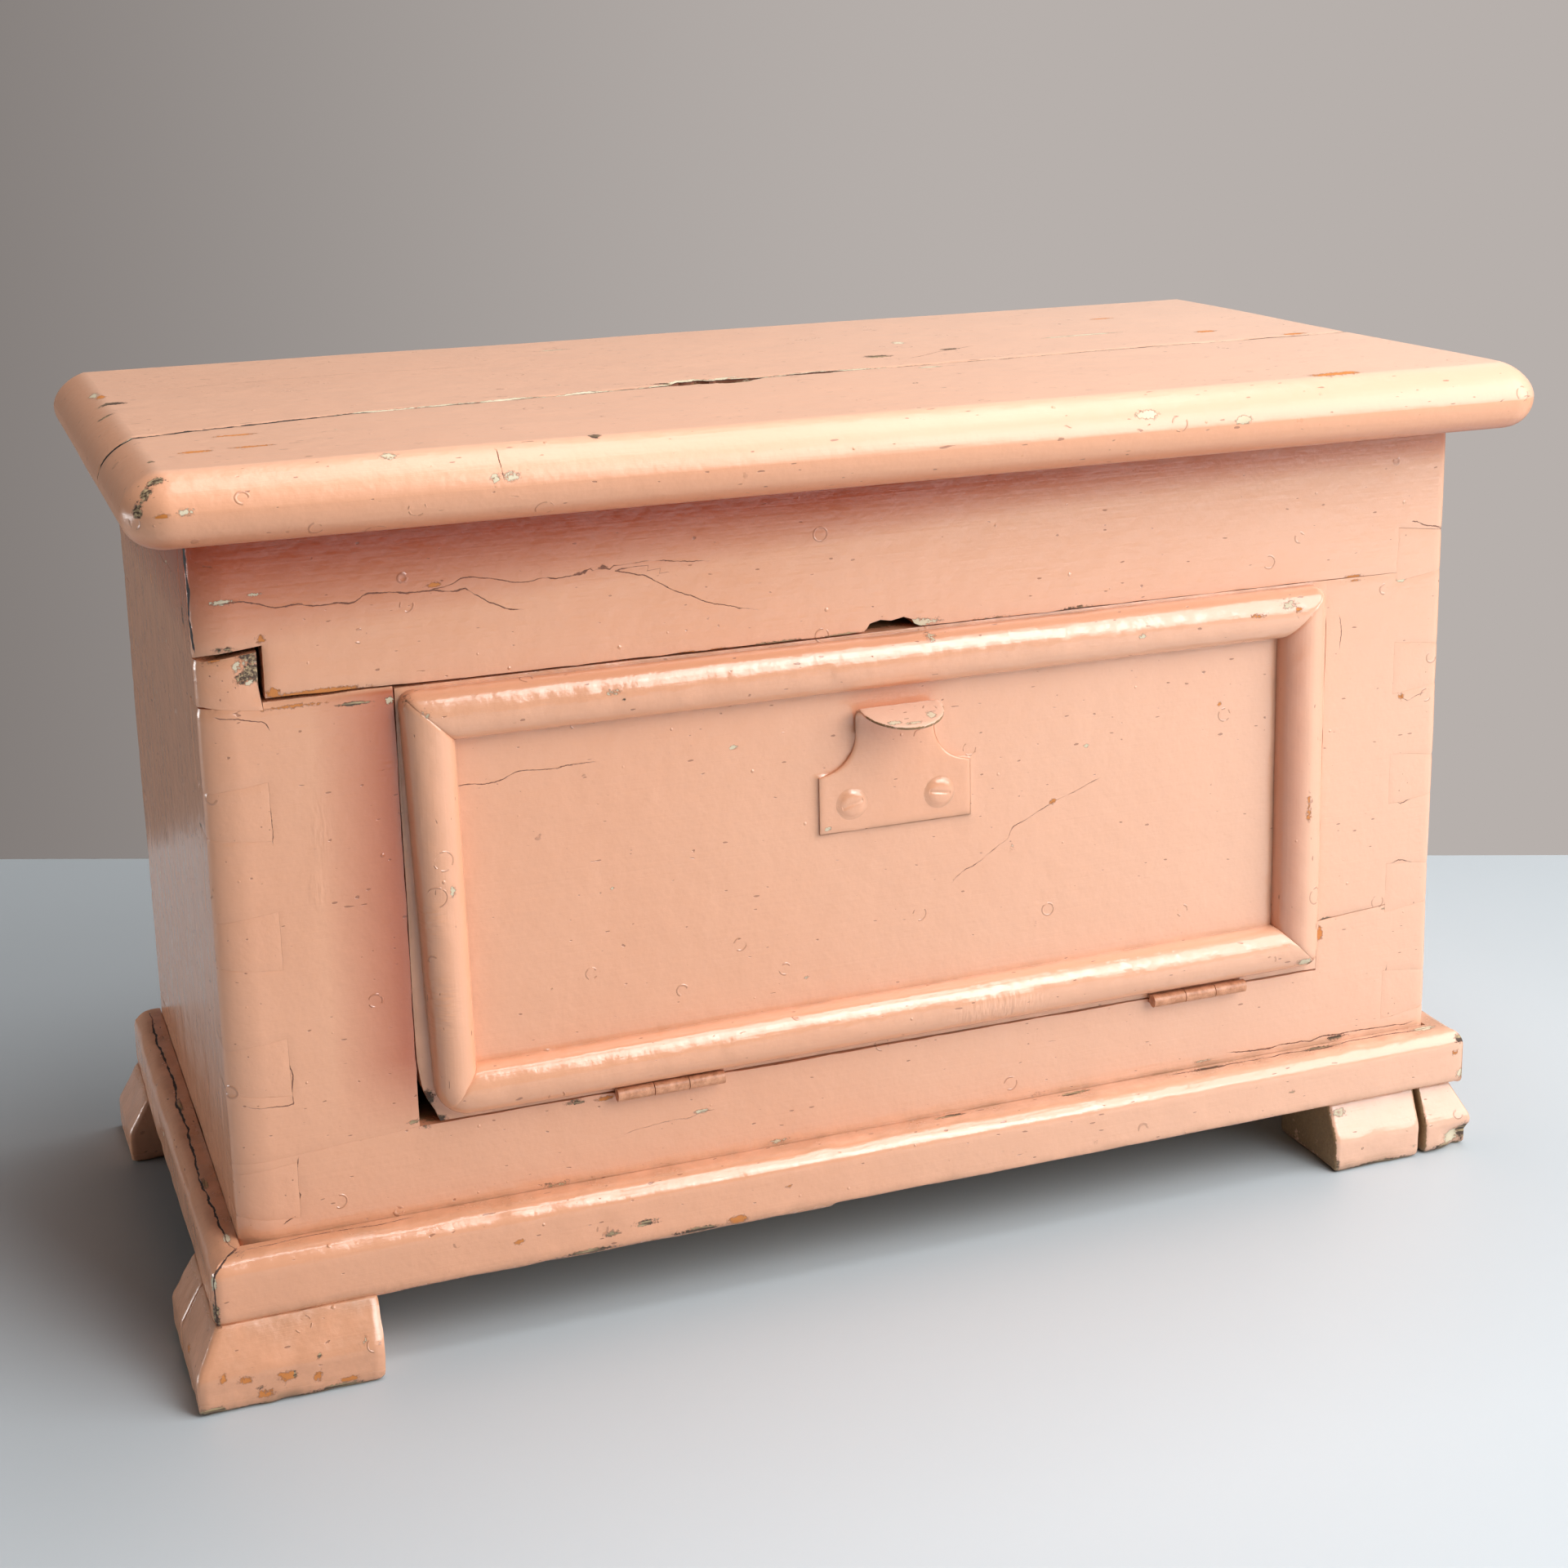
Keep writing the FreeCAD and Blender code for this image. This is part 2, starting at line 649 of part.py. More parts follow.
# Stop strip: rebated over the top board's lower edge, it stands behind the closed flap
def flap_stop():
    x0 = opening_left_x + stop_end_gap
    x1 = opening_right_x - stop_end_gap
    face = front_y + flap_thickness + stop_seat_gap
    inside = front_y + wall_thickness
    low = opening_top_z - stop_hang
    points = [(face, low), (inside + stop_thickness, low), (inside + stop_thickness, low + stop_height),
              (inside, low + stop_height), (inside, opening_top_z), (face, opening_top_z)]
    return prism_yz(points, x0, x1)


def finger_notch():
    half = finger_notch_width / 2
    radius = (half ** 2 + finger_notch_depth ** 2) / (2 * finger_notch_depth)
    centre = FreeCAD.Vector(flap_centre_x, front_y - overrun, opening_top_z + finger_notch_depth - radius)
    return rod(centre, FreeCAD.Vector(0, 1, 0), radius, wall_thickness + 2 * overrun)


# Build and write every piece
os.makedirs("parts", exist_ok=True)

lid_sizes = (lid_hinge_length, lid_hinge_leaf_width, lid_hinge_leaf_thickness, lid_hinge_knuckle_radius,
             lid_hinge_pin_radius, lid_hinge_standoff, lid_seat_gap, lid_hinge_screw_shares)
flap_sizes = (flap_hinge_length, flap_hinge_leaf_width, flap_hinge_leaf_thickness, flap_hinge_knuckle_radius,
              flap_hinge_pin_radius, flap_hinge_standoff, flap_bottom_gap, flap_hinge_screw_shares)
lid_screw = (hinge_screw_head_radius, hinge_screw_shank_radius, hinge_screw_length)
flap_screw = (flap_screw_head_radius, flap_screw_shank_radius, flap_screw_length)
lid_hinge_x = body_width / 2 - lid_hinge_end_distance - lid_hinge_length / 2
lid_butts = {
    "left": Butt(-lid_hinge_x, lid_axis_y, lid_axis_z, -1, lid_sizes),
    "right": Butt(lid_hinge_x, lid_axis_y, lid_axis_z, -1, lid_sizes),
}
flap_butts = {
    "left": Butt(opening_left_x + flap_hinge_left_inset, flap_axis_y, flap_axis_z, 1, flap_sizes),
    "right": Butt(opening_right_x - flap_hinge_right_inset, flap_axis_y, flap_axis_z, 1, flap_sizes),
}


def hinge_cuts(butts, level, screw):
    cuts = []
    for butt in butts.values():
        cuts += [butt.bed(level), butt.screws(level, screw, wood_fit)]
    return cuts


def save_hinges(kind, moving, butts, screw):
    for place, butt in butts.items():
        stem = kind + "_hinge_" + place
        save(stem + "_case_leaf", butt.leaf(-1, screw))
        save(stem + "_" + moving + "_leaf", butt.leaf(1, screw))
        save(stem + "_pin", butt.pin())
    for level, name in ((-1, "case"), (1, moving)):
        solids = []
        for butt in butts.values():
            solids += butt.screws(level, screw, 0).Solids
        save(kind + "_hinge_" + name + "_screws", Part.makeCompound(solids))


plinth_nail_solids, plinth_nail_holes = plinth_nails()
floor_nail_solids, floor_nail_holes = floor_nails()
brad_solids, brad_holes = moulding_brads()
foot_plans = foot_blocks()
foot_places = [foot_nail_place(plan) for plan in foot_plans.values()]
upward = FreeCAD.Vector(0, 0, 1)
foot_nail_solids, foot_nail_holes = nail_set(foot_places, upward, foot_nail_length, nail_radius, nail_head_radius)

walls = wall_envelope()
back_board_y = back_y - wall_thickness
save("front_top_board", tail_board(
    [(left_x, opening_top_z), (right_x, opening_top_z), (right_x, wall_top_z), (left_x, wall_top_z)],
    front_y, walls, [finger_notch()]))
save("front_left_stile", tail_board(
    [(left_x, seam_z(left_x)), (opening_left_x, opening_bottom_z), (opening_left_x, opening_top_z),
     (left_x, opening_top_z)], front_y, walls, []))
save("front_right_stile", tail_board(
    [(opening_right_x, seam_z(opening_right_x)), (right_x, seam_z(right_x)), (right_x, opening_top_z),
     (opening_right_x, opening_top_z)], front_y, walls, []))
save("front_bottom_board", tail_board(
    [(left_x, wall_bottom_z), (right_x, wall_bottom_z), (right_x, seam_z(right_x)),
     (opening_right_x, seam_z(opening_right_x)), (opening_right_x, opening_bottom_z),
     (opening_left_x, opening_bottom_z), (left_x, seam_z(left_x))],
    front_y, walls, hinge_cuts(flap_butts, -1, flap_screw) + floor_nail_holes))
save("back_upper_board", tail_board(
    [(left_x, back_seam_z), (right_x, back_seam_z), (right_x, wall_top_z), (left_x, wall_top_z)],
    back_board_y, walls, hinge_cuts(lid_butts, -1, lid_screw)))
save("back_lower_board", tail_board(
    [(left_x, wall_bottom_z), (right_x, wall_bottom_z), (right_x, back_seam_z), (left_x, back_seam_z)],
    back_board_y, walls, floor_nail_holes))
save("side_left_board", side_board(-1, walls).cut(floor_nail_holes))
save("side_right_board", side_board(1, walls).cut(floor_nail_holes))

floor_split_y = front_y + floor_front_board_depth
floor_holes = plinth_nail_holes + floor_nail_holes + foot_nail_holes
save("floor_front_board",
     block(left_x, right_x, front_y, floor_split_y, floor_bottom_z, wall_bottom_z).cut(floor_holes))
save("floor_rear_board",
     block(left_x, right_x, floor_split_y, back_y, floor_bottom_z, wall_bottom_z).cut(floor_holes))
save("flap_stop_strip", flap_stop())
for name, piece in plinth_pieces().items():
    save(name, piece.cut(plinth_nail_holes))
left_feet = foot_envelope(-1, foot_reach, 0)
right_feet = foot_envelope(1, foot_right_reach, foot_right_set_back)
for name, (x0, x1, y0, y1) in foot_plans.items():
    feet = left_feet if x1 < 0 else right_feet
    save(name, block(x0, x1, y0, y1, 0, foot_height).common(feet).cut(foot_nail_holes))
save("plinth_nails", Part.makeCompound(plinth_nail_solids))
save("floor_nails", Part.makeCompound(floor_nail_solids))
save("foot_nails", Part.makeCompound(foot_nail_solids))

# The joint runs askew: the front board is narrower at its left end
lid_edge_x = body_width / 2 + lid_side_overhang + overrun
lid_blank = lid_slab()
lid_blank_ys = {"lid_front_board": front_y - lid_front_overhang - overrun, "lid_rear_board": back_y + overrun}
lid_halves = {}
for name, far_y in lid_blank_ys.items():
    plan = [(-lid_edge_x, lid_joint_y(-lid_edge_x)), (lid_edge_x, lid_joint_y(lid_edge_x)),
            (lid_edge_x, far_y), (-lid_edge_x, far_y)]
    lid_halves[name] = prism_xy(plan, lid_bottom_z - overrun, lid_top_z + overrun)
lid_cuts = lid_dowels(wood_fit) + hinge_cuts(lid_butts, 1, lid_screw)
for name, half_space in lid_halves.items():
    save(name, lid_blank.common(half_space).cut(lid_cuts))
save("lid_dowels", Part.makeCompound(lid_dowels(0)))
save_hinges("lid", "lid", lid_butts, lid_screw)

pull_holes = pull_screws(wood_fit)
flap_blank = block(flap_left_x, flap_right_x, front_y, front_y + flap_thickness, flap_bottom_z, flap_top_z)
save("flap_board", flap_blank.cut(pull_holes + brad_holes + hinge_cuts(flap_butts, 1, flap_screw)))
for name, piece in moulding_pieces().items():
    save(name, piece.cut(brad_holes))
save("moulding_brads", Part.makeCompound(brad_solids))
save("pull_plate", pull_plate(pull_holes))
save("pull_screws", Part.makeCompound(pull_screws(0)))
save_hinges("flap", "flap", flap_butts, flap_screw)
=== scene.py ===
import bpy
import bmesh
import math
from functools import partial
import numpy as np
from mathutils import Matrix


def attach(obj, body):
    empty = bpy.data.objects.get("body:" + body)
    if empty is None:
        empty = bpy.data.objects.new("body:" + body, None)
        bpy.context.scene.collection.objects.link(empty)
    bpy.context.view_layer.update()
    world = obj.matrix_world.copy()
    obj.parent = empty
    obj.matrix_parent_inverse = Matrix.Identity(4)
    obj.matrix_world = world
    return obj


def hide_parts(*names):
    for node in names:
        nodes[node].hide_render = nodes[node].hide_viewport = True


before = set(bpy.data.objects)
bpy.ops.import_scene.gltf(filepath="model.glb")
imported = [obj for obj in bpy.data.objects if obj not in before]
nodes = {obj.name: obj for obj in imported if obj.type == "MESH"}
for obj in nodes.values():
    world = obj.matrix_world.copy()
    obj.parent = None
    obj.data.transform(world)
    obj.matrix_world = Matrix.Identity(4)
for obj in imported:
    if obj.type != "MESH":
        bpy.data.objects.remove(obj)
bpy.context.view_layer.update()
scene = bpy.context.scene
print("frame loaded,", len(nodes), "nodes")

# Lengths below are millimetres in the frame of the CAD: +X right, +Z up, the front faces -Y.
# Where the photograph is taken from, and the plain studio round the box
studio = {
    "cameraPlace": (-307.3, -836.4, 427.3),
    "cameraTurn": 0.3538,            # radians from +Y towards +X
    "cameraDown": 0.2374,
    "cameraRoll": -0.0224,
    "lens": 56.5,
    "shift": -0.1073,
    "floorColour": "#c0c8cd",
    "floorEdge": ((-270, 484.5), (486, 152.7)),     # the far edge of the table runs through these
    "backdrop": "#b7b0ac",
    "backdropLeft": "#76706d",
    # place, size, watts and aim of each softbox
    "key": ((1060, -900, 850), (1400, 1300), 20.0, (0, -60, 140)),
    "window": ((400, -1010, 960), (480, 1150), 8.3, (20, -90, 200)),
    "overhead": ((300, -60, 1450), (1000, 900), 13.8, (40, 0, 150)),
    "leftFill": ((-1500, 420, 140), (900, 240), 5.6, (-225, 20, 170)),
}


def linear(colour):
    # sRGB hex to linear, the usual curve
    parts = [int(colour[i:i + 2], 16) / 255 for i in (1, 3, 5)]
    parts = [p / 12.92 if p <= 0.04045 else ((p + 0.055) / 1.055) ** 2.4 for p in parts]
    return (*parts, 1.0)


def addNode(tree, kind, inputs={}, output=0, **settings):
    # one node: its inputs, each a plain value or the output that feeds it, the output wanted, and its settings
    node = tree.nodes.new("ShaderNode" + kind)
    for key, value in settings.items():
        setattr(node, key, value)
    for key, value in inputs.items():
        if isinstance(value, bpy.types.NodeSocket):
            tree.links.new(value, node.inputs[key])
        else:
            node.inputs[key].default_value = value
    return node.outputs[output] if node.outputs else node


def newMaterial(name):
    # an empty material and the function that adds nodes to it
    material = bpy.data.materials.new(name)
    material.use_nodes = True
    material.node_tree.nodes.clear()
    return material, partial(addNode, material.node_tree)


# Paint, wood and iron

paintLook = {
    "coat": "#eaae8b",
    "coatDeep": "#e6a37d",
    # painted sheen: the paler colour that stands for light shining on the gloss
    "sheenColour": "#edc3aa",
    "paintedShade": "#b54e26",            # painted shade: the deep colour drawn under the lid's overhang and in the moulding's shadow
    "primer": "#e9dcc2",
    "primerGreen": "#c4b592",
    "oldOrange": "#d07f35",
    "deadWood": "#c3aa80",
    "darkWood": "#48301d",
    # dirt together with painted shade in creases and along joints
    "grimeAndShade": "#9a7150",
    "crackBrown": "#7a4630",
    # near-black: the painted shadow inside an open crack
    "openCrackShadow": "#1d120c",
    "roughness": 0.14, "shine": 0.85,
    # each noise: size in mm, detail and roughness; the brush's bristles leave lines about 1.5 mm apart
    "wide": (85, 3, 0.5), "blotch": (13, 4, 0.6), "brush": (1.5, 3, 0.6), "swell": (6, 2, 0.5),
    "skin": (1.6, 2, 0.5), "ragged": (1.1, 5, 0.72), "torn": (5.5, 2, 0.5), "unsteady": (4.5, 2, 0.5),
    "partRing": (3.5, 1, 0.5), "nick": (1.2, 0, 0.5), "grain": (1.1, 4, 0.65), "ridge": (1.3, 1, 0.5),
    # how far each stands out, in mm, below nought for what is sunk
    "relief": {"brush": 0.1, "nick": -0.25, "swell": 0.3, "skin": 0.07, "nib": 0.34, "hair": 0.2, "lost": -0.3,
        "cracks": -0.3, "ragged": 0.02, "ridge": 0.6},
}


def glossPaint(name, along, rubbed=0.0):
    # Oil gloss brushed on thick over older coats on pine: a wet-looking skin with brush lines along the
    # board, runs, nibs and loose bristles under it, and chips that show primer, an orange coat and grey wood.
    material, add = newMaterial(name)
    place = add("TexCoord", {}, "Object")
    scaled = add("Mapping", {"Vector": place, "Scale": (1000, 1000, 1000)})
    stretch = [1000, 1000, 1000]
    stretch[along] = 28
    brushed = add("Mapping", {"Vector": place, "Scale": stretch})

    def noise(vector, key):
        size, detail, rough = paintLook[key]
        return add("TexNoise", {"Vector": vector, "Scale": 1 / size, "Detail": detail, "Roughness": rough})

    wide, blotch, swell, skin, ragged, torn = (
        noise(scaled, key) for key in ("wide", "blotch", "swell", "skin", "ragged", "torn"))
    brush = noise(brushed, "brush")

    coat = add("Mix", {"Factor": wide, 6: linear(paintLook["coatDeep"]), 7: linear(paintLook["coat"])}, 2,
        data_type="RGBA")

    chips = add("Attribute", {}, "Vector", attribute_name="chips")
    layers = add("SeparateXYZ", {"Vector": chips}).node.outputs
    wobble = add("Math", {0: ragged, 1: 2.3, 2: -1.7}, operation="MULTIPLY_ADD")
    wobble = add("Math", {0: torn, 1: 1.1, 2: wobble}, operation="MULTIPLY_ADD")
    masks, most = [], None
    for layer in layers:
        level = add("Math", {0: layer, 1: wobble}, operation="ADD")
        most = level if most is None else add("Math", {0: most, 1: level}, operation="MAXIMUM")
        masks.append(add("MapRange", {"Value": level, "From Min": 1.0, "From Max": 1.08}))

    coats = add("Attribute", {}, "Vector", attribute_name="coats")
    # the coats attribute holds the paint's cover, dirt with painted crease shade, and the painted sheen
    cover, dirtAndShade, paintedSheen = add("SeparateXYZ", {"Vector": coats}).node.outputs
    # painted shade: the third value of the second crack attribute mixes in the deep shade colour
    shade = add("SeparateXYZ", {"Vector": add("Attribute", {}, "Vector", attribute_name="crackTwo")}, 2)
    reach = add("Math", {0: wobble, 1: 0.5, 2: cover}, operation="MULTIPLY_ADD")
    painted = add("MapRange", {"Value": reach, "From Min": 0.5, "From Max": 0.53})

    # cracks: the attribute holds the distance to the line and its half width; its third value is the wrinkling
    # in the first attribute and the painted shade in the second
    cracks = None
    unsteady = add("MapRange", {"Value": noise(scaled, "unsteady"), "From Min": 0.3, "From Max": 0.66,
        "To Min": 0.25, "To Max": 1.3})
    for source in ("crackOne", "crackTwo"):
        vector = add("Attribute", {}, "Vector", attribute_name=source)
        away, half, wrinkled = add("SeparateXYZ", {"Vector": vector}).node.outputs
        if source == "crackOne":
            wrinkle, halfOne = wrinkled, half
        half = add("Math", {0: half, 1: unsteady}, operation="MULTIPLY")
        shaken = add("Math", {0: wobble, 1: 0.4, 2: away}, operation="MULTIPLY_ADD")
        size = add("Math", {0: shaken}, operation="ABSOLUTE")
        thin = add("Math", {0: half, 1: size}, operation="SUBTRACT")
        line = add("MapRange", {"Value": thin, "From Min": -0.09, "From Max": 0.05})
        there = add("MapRange", {"Value": half, "From Min": 0.01, "From Max": 0.09})
        line = add("Math", {0: line, 1: there}, operation="MULTIPLY")
        cracks = line if cracks is None else add("Math", {0: cracks, 1: line}, operation="MAXIMUM")

    # nibs and flecks: the middles of a few cells of a Voronoi pattern, about 9 mm wide
    cells = add("TexVoronoi", {"Vector": scaled, "Scale": 1 / 9}).node
    spread = add("SeparateColor", {"Color": cells.outputs["Color"]}).node.outputs
    reachOut = add("MapRange", {"Value": spread[0], "From Min": 0.45, "From Max": 1.0, "To Min": 0.0,
        "To Max": 0.09})
    nib = add("Math", {0: reachOut, 1: cells.outputs["Distance"]}, operation="SUBTRACT")
    nib = add("MapRange", {"Value": nib, "From Min": 0.0, "From Max": 0.05})
    fleckWish = add("Math", {0: spread[1], 1: 0.72}, operation="GREATER_THAN")
    fleck = add("Math", {0: nib, 1: fleckWish}, operation="MULTIPLY")

    # bristles lost in the paint: parts of rings 2 to 3 mm in radius
    rings = add("TexVoronoi", {"Vector": scaled, "Scale": 1 / 17}).node
    ringPick = add("SeparateColor", {"Color": rings.outputs["Color"]}).node.outputs
    ringSize = add("MapRange", {"Value": ringPick[1], "To Min": 0.1, "To Max": 0.2})
    ringOff = add("Math", {0: rings.outputs["Distance"], 1: ringSize}, operation="SUBTRACT")
    ringOff = add("Math", {0: ringOff}, operation="ABSOLUTE")
    ring = add("MapRange", {"Value": ringOff, "From Min": 0.02, "From Max": 0.005})
    part = add("Math", {0: noise(scaled, "partRing"), 1: 0.5}, operation="GREATER_THAN")
    kept = add("Math", {0: ringPick[0], 1: 0.6}, operation="GREATER_THAN")
    hair = add("Math", {0: ring, 1: part}, operation="MULTIPLY")
    hair = add("Math", {0: hair, 1: kept}, operation="MULTIPLY")

    # small nicks, longer along the brush
    nickAt = add("Mapping", {"Vector": place, "Scale": [s if s > 500 else 330 for s in stretch]})
    nick = add("MapRange", {"Value": noise(nickAt, "nick"), "From Min": 0.81, "From Max": 0.84})

    # colours, from the wood outwards
    grainAt = add("Mapping", {"Vector": place, "Scale": [s if s > 500 else 60 for s in stretch]})
    grain = noise(grainAt, "grain")
    split = add("MapRange", {"Value": grain, "From Min": 0.47, "From Max": 0.62})
    wood = add("Mix", {"Factor": split, 6: linear(paintLook["darkWood"]), 7: linear(paintLook["deadWood"])},
        2, data_type="RGBA")
    bare = add("Mix", {"Factor": grain, 6: linear(pineLook["dark"]), 7: linear(pineLook["light"])}, 2,
        data_type="RGBA")
    primer = add("Mix", {"Factor": blotch, 6: linear(paintLook["primer"]),
        7: linear(paintLook["primerGreen"])}, 2, data_type="RGBA")
    soilAndShade = add("MapRange", {"Value": blotch, "From Min": 0.3, "From Max": 0.65})
    # chip rims darken towards brown: dirt along the torn edge and painted shade that gives the chip its depth
    rim = add("MapRange", {"Value": most, "From Min": 0.72, "From Max": 1.02, "To Max": 0.5})
    soilAndShade = add("Math", {0: soilAndShade, 1: dirtAndShade}, operation="MULTIPLY")
    # over the coat in turn: painted sheen, painted shade, dirt with painted crease shade, chip rims, flecks,
    # and the chip layers
    colour = coat
    stack = [(paintedSheen, linear(paintLook["sheenColour"])), (shade, linear(paintLook["paintedShade"])),
        (soilAndShade, linear(paintLook["grimeAndShade"])), (rim, linear(paintLook["crackBrown"])),
        (fleck, linear(paintLook["primerGreen"])), (masks[0], primer),
        (masks[1], linear(paintLook["oldOrange"])), (masks[2], wood)]
    for mask, layer in stack:
        colour = add("Mix", {"Factor": mask, 6: colour, 7: layer}, 2, data_type="RGBA")
    colour = add("Mix", {"Factor": painted, 6: bare, 7: colour}, 2, data_type="RGBA")
    # painted shade: the bristle rings and the nicks take a little of the crack colour
    faint = add("Math", {0: hair, 1: 0.3}, operation="MULTIPLY")
    nick = add("Math", {0: nick, 1: 0.55}, operation="MULTIPLY")
    faint = add("Math", {0: faint, 1: nick}, operation="MAXIMUM")
    lines = add("Math", {0: cracks, 1: faint}, operation="MAXIMUM")
    # wide cracks are drawn near-black, the painted shadow inside an open crack; narrow ones stay brown
    open_ = add("MapRange", {"Value": halfOne, "From Min": 0.22, "From Max": 0.4})
    inside = add("Mix", {"Factor": open_, 6: linear(paintLook["crackBrown"]),
        7: linear(paintLook["openCrackShadow"])}, 2, data_type="RGBA")
    colour = add("Mix", {"Factor": lines, 6: colour, 7: inside}, 2, data_type="RGBA")

    lost = masks[0]
    for mask in masks[1:]:
        lost = add("Math", {0: lost, 1: mask}, operation="MAXIMUM")
    unpainted = add("Math", {0: 1.0, 1: painted}, operation="SUBTRACT")
    matt = add("Math", {0: lost, 1: unpainted}, operation="MAXIMUM")
    matt = add("Math", {0: matt, 1: cracks}, operation="MAXIMUM")
    worn = add("Math", {0: blotch, 1: 0.16, 2: paintLook["roughness"] - 0.06 + rubbed},
        operation="MULTIPLY_ADD")
    worn = add("Math", {0: dirtAndShade, 1: 0.25, 2: worn}, operation="MULTIPLY_ADD")
    rough = add("Mix", {"Factor": matt, 2: worn, 3: 0.78}, 0)

    # relief in millimetres, added up
    relief = paintLook["relief"]
    height = add("Math", {0: brush, 1: relief["brush"]}, operation="MULTIPLY")
    # where thick paint dried too fast it wrinkled into fine ridges about 1.3 mm apart
    ridgeAt = add("Mapping", {"Vector": place, "Scale": [1000 if s < 500 else 260 for s in stretch]})
    ridges = add("Math", {0: noise(ridgeAt, "ridge"), 1: wrinkle}, operation="MULTIPLY")
    for what, source in (("nick", nick), ("swell", swell), ("skin", skin), ("nib", nib), ("hair", hair),
            ("lost", lost), ("cracks", cracks), ("ragged", ragged), ("ridge", ridges)):
        height = add("Math", {0: source, 1: relief[what], 2: height}, operation="MULTIPLY_ADD")
    bump = add("Bump", {"Height": height, "Distance": 0.001, "Strength": 0.8})
    shader = add("BsdfPrincipled", {"Base Color": colour, "Roughness": rough, "Normal": bump, "IOR": 1.55,
        "Specular IOR Level": paintLook["shine"] - 2 * rubbed})
    add("OutputMaterial", {"Surface": shader})
    return material


pineLook = {"light": "#b08a5c", "dark": "#6d4d2e", "stain": "#5a4433"}


def agedPine(name, along):
    # Sawn pine left bare inside: growth lines along the board, brown with age, dull
    material, add = newMaterial(name)
    place = add("TexCoord", {}, "Object")
    stretch = [1000, 1000, 1000]
    stretch[along] = 35
    run = add("Mapping", {"Vector": place, "Scale": stretch})
    even = add("Mapping", {"Vector": place, "Scale": (1000, 1000, 1000)})
    grain = add("TexNoise", {"Vector": run, "Scale": 1 / 4, "Detail": 5.0, "Roughness": 0.65})
    bands = add("MapRange", {"Value": grain, "From Min": 0.3, "From Max": 0.7})
    stains = add("TexNoise", {"Vector": even, "Scale": 1 / 60, "Detail": 3.0})
    stained = add("MapRange", {"Value": stains, "From Min": 0.5, "From Max": 0.75, "To Max": 0.6})
    colour = add("Mix", {"Factor": bands, 6: linear(pineLook["dark"]), 7: linear(pineLook["light"])}, 2,
        data_type="RGBA")
    colour = add("Mix", {"Factor": stained, 6: colour, 7: linear(pineLook["stain"])}, 2, data_type="RGBA")
    relief = add("Bump", {"Height": grain, "Distance": 0.0004, "Strength": 0.6})
    shader = add("BsdfPrincipled", {"Base Color": colour, "Roughness": 0.72, "Normal": relief})
    add("OutputMaterial", {"Surface": shader})
    return material


def oldIron(name, hexDark, hexLight, rough, metal):
    # Wrought or stamped iron gone dark, with rust in small blotches
    material, add = newMaterial(name)
    place = add("TexCoord", {}, "Object")
    even = add("Mapping", {"Vector": place, "Scale": (1000, 1000, 1000)})
    rust = add("TexNoise", {"Vector": even, "Scale": 1 / 3, "Detail": 5.0, "Roughness": 0.7})
    spread = add("MapRange", {"Value": rust, "From Min": 0.4, "From Max": 0.65})
    colour = add("Mix", {"Factor": spread, 6: linear(hexDark), 7: linear(hexLight)}, 2, data_type="RGBA")
    relief = add("Bump", {"Height": rust, "Distance": 0.0003, "Strength": 0.7})
    shader = add("BsdfPrincipled", {"Base Color": colour, "Roughness": rough, "Metallic": metal,
        "Normal": relief})
    add("OutputMaterial", {"Surface": shader})
    return material


paintX = glossPaint("brushed_gloss_paint_along_x", 0)
paintLid = glossPaint("hand_rubbed_gloss_paint", 0, 0.15)
paintY = glossPaint("brushed_gloss_paint_along_y", 1)
paintZ = glossPaint("brushed_gloss_paint_along_z", 2)
pineX = agedPine("bare_aged_pine_along_x", 0)
ironDark = oldIron("wrought_iron_dark", "#2b2624", "#4a3528", 0.55, 0.85)
ironPainted = oldIron("iron_under_worn_paint", "#dc9f7c", "#b67a57", 0.35, 0.0)
steelDull = oldIron("steel_screw_dull", "#77706a", "#5c4636", 0.4, 0.9)
print("materials ready")


# Surfaces

def lumps(points, size, seed):
    # smooth noise from -1 to 1: seeded values on a lattice, blended by 3t^2 - 2t^3 in x, y and z
    table = np.random.default_rng(seed).uniform(-1, 1, (24, 24, 24))
    q = np.asarray(points) / size
    cell = np.floor(q).astype(int)
    t = q - cell
    t = t * t * (3 - 2 * t)
    total = np.zeros(len(q))
    for corner in np.ndindex(2, 2, 2):
        weight = np.prod(np.where(np.array(corner, bool), t, 1 - t), axis=1)
        i = (cell + corner) % 24
        total += weight * table[i[:, 0], i[:, 1], i[:, 2]]
    return total


def insideOf(points, outline):
    # even-odd rule, one side of the outline at a time
    hit = np.zeros(len(points), bool)
    for (x0, y0), (x1, y1) in zip(outline, np.roll(outline, -1, axis=0)):
        if y0 != y1:
            crosses = (y0 > points[:, 1]) != (y1 > points[:, 1])
            hit ^= crosses & (points[:, 0] < x0 + (points[:, 1] - y0) * (x1 - x0) / (y1 - y0))
    return hit


def nearestOn(points, path):
    # foot of the perpendicular on the nearest run of a path, its distance with a sign for the side, and the
    # share of the way along
    best = np.full(len(points), 1e9)
    foot = np.zeros((len(points), 2))
    side = np.zeros(len(points))
    share = np.zeros(len(points))
    for i, (a, b) in enumerate(zip(path[:-1], path[1:])):
        run = b - a
        t = np.clip((points - a) @ run / (run @ run), 0, 1)
        spot = a + t[:, None] * run
        gap = np.hypot(*(points - spot).T)
        closer = gap < best
        best[closer] = gap[closer]
        foot[closer] = spot[closer]
        off = points - a
        side[closer] = np.sign(run[0] * off[:, 1] - run[1] * off[:, 0])[closer]
        share[closer] = ((i + t) / (len(path) - 1))[closer]
    return foot, best * np.where(side == 0, 1, side), share


def rimOf(cells, count):
    # the sides that only one cell has, each with that cell on its left
    sides = np.concatenate([cells[:, [i, (i + 1) % 4]] for i in range(4)])
    return sides[~np.isin(sides[:, 0] * count + sides[:, 1], sides[:, 1] * count + sides[:, 0])]


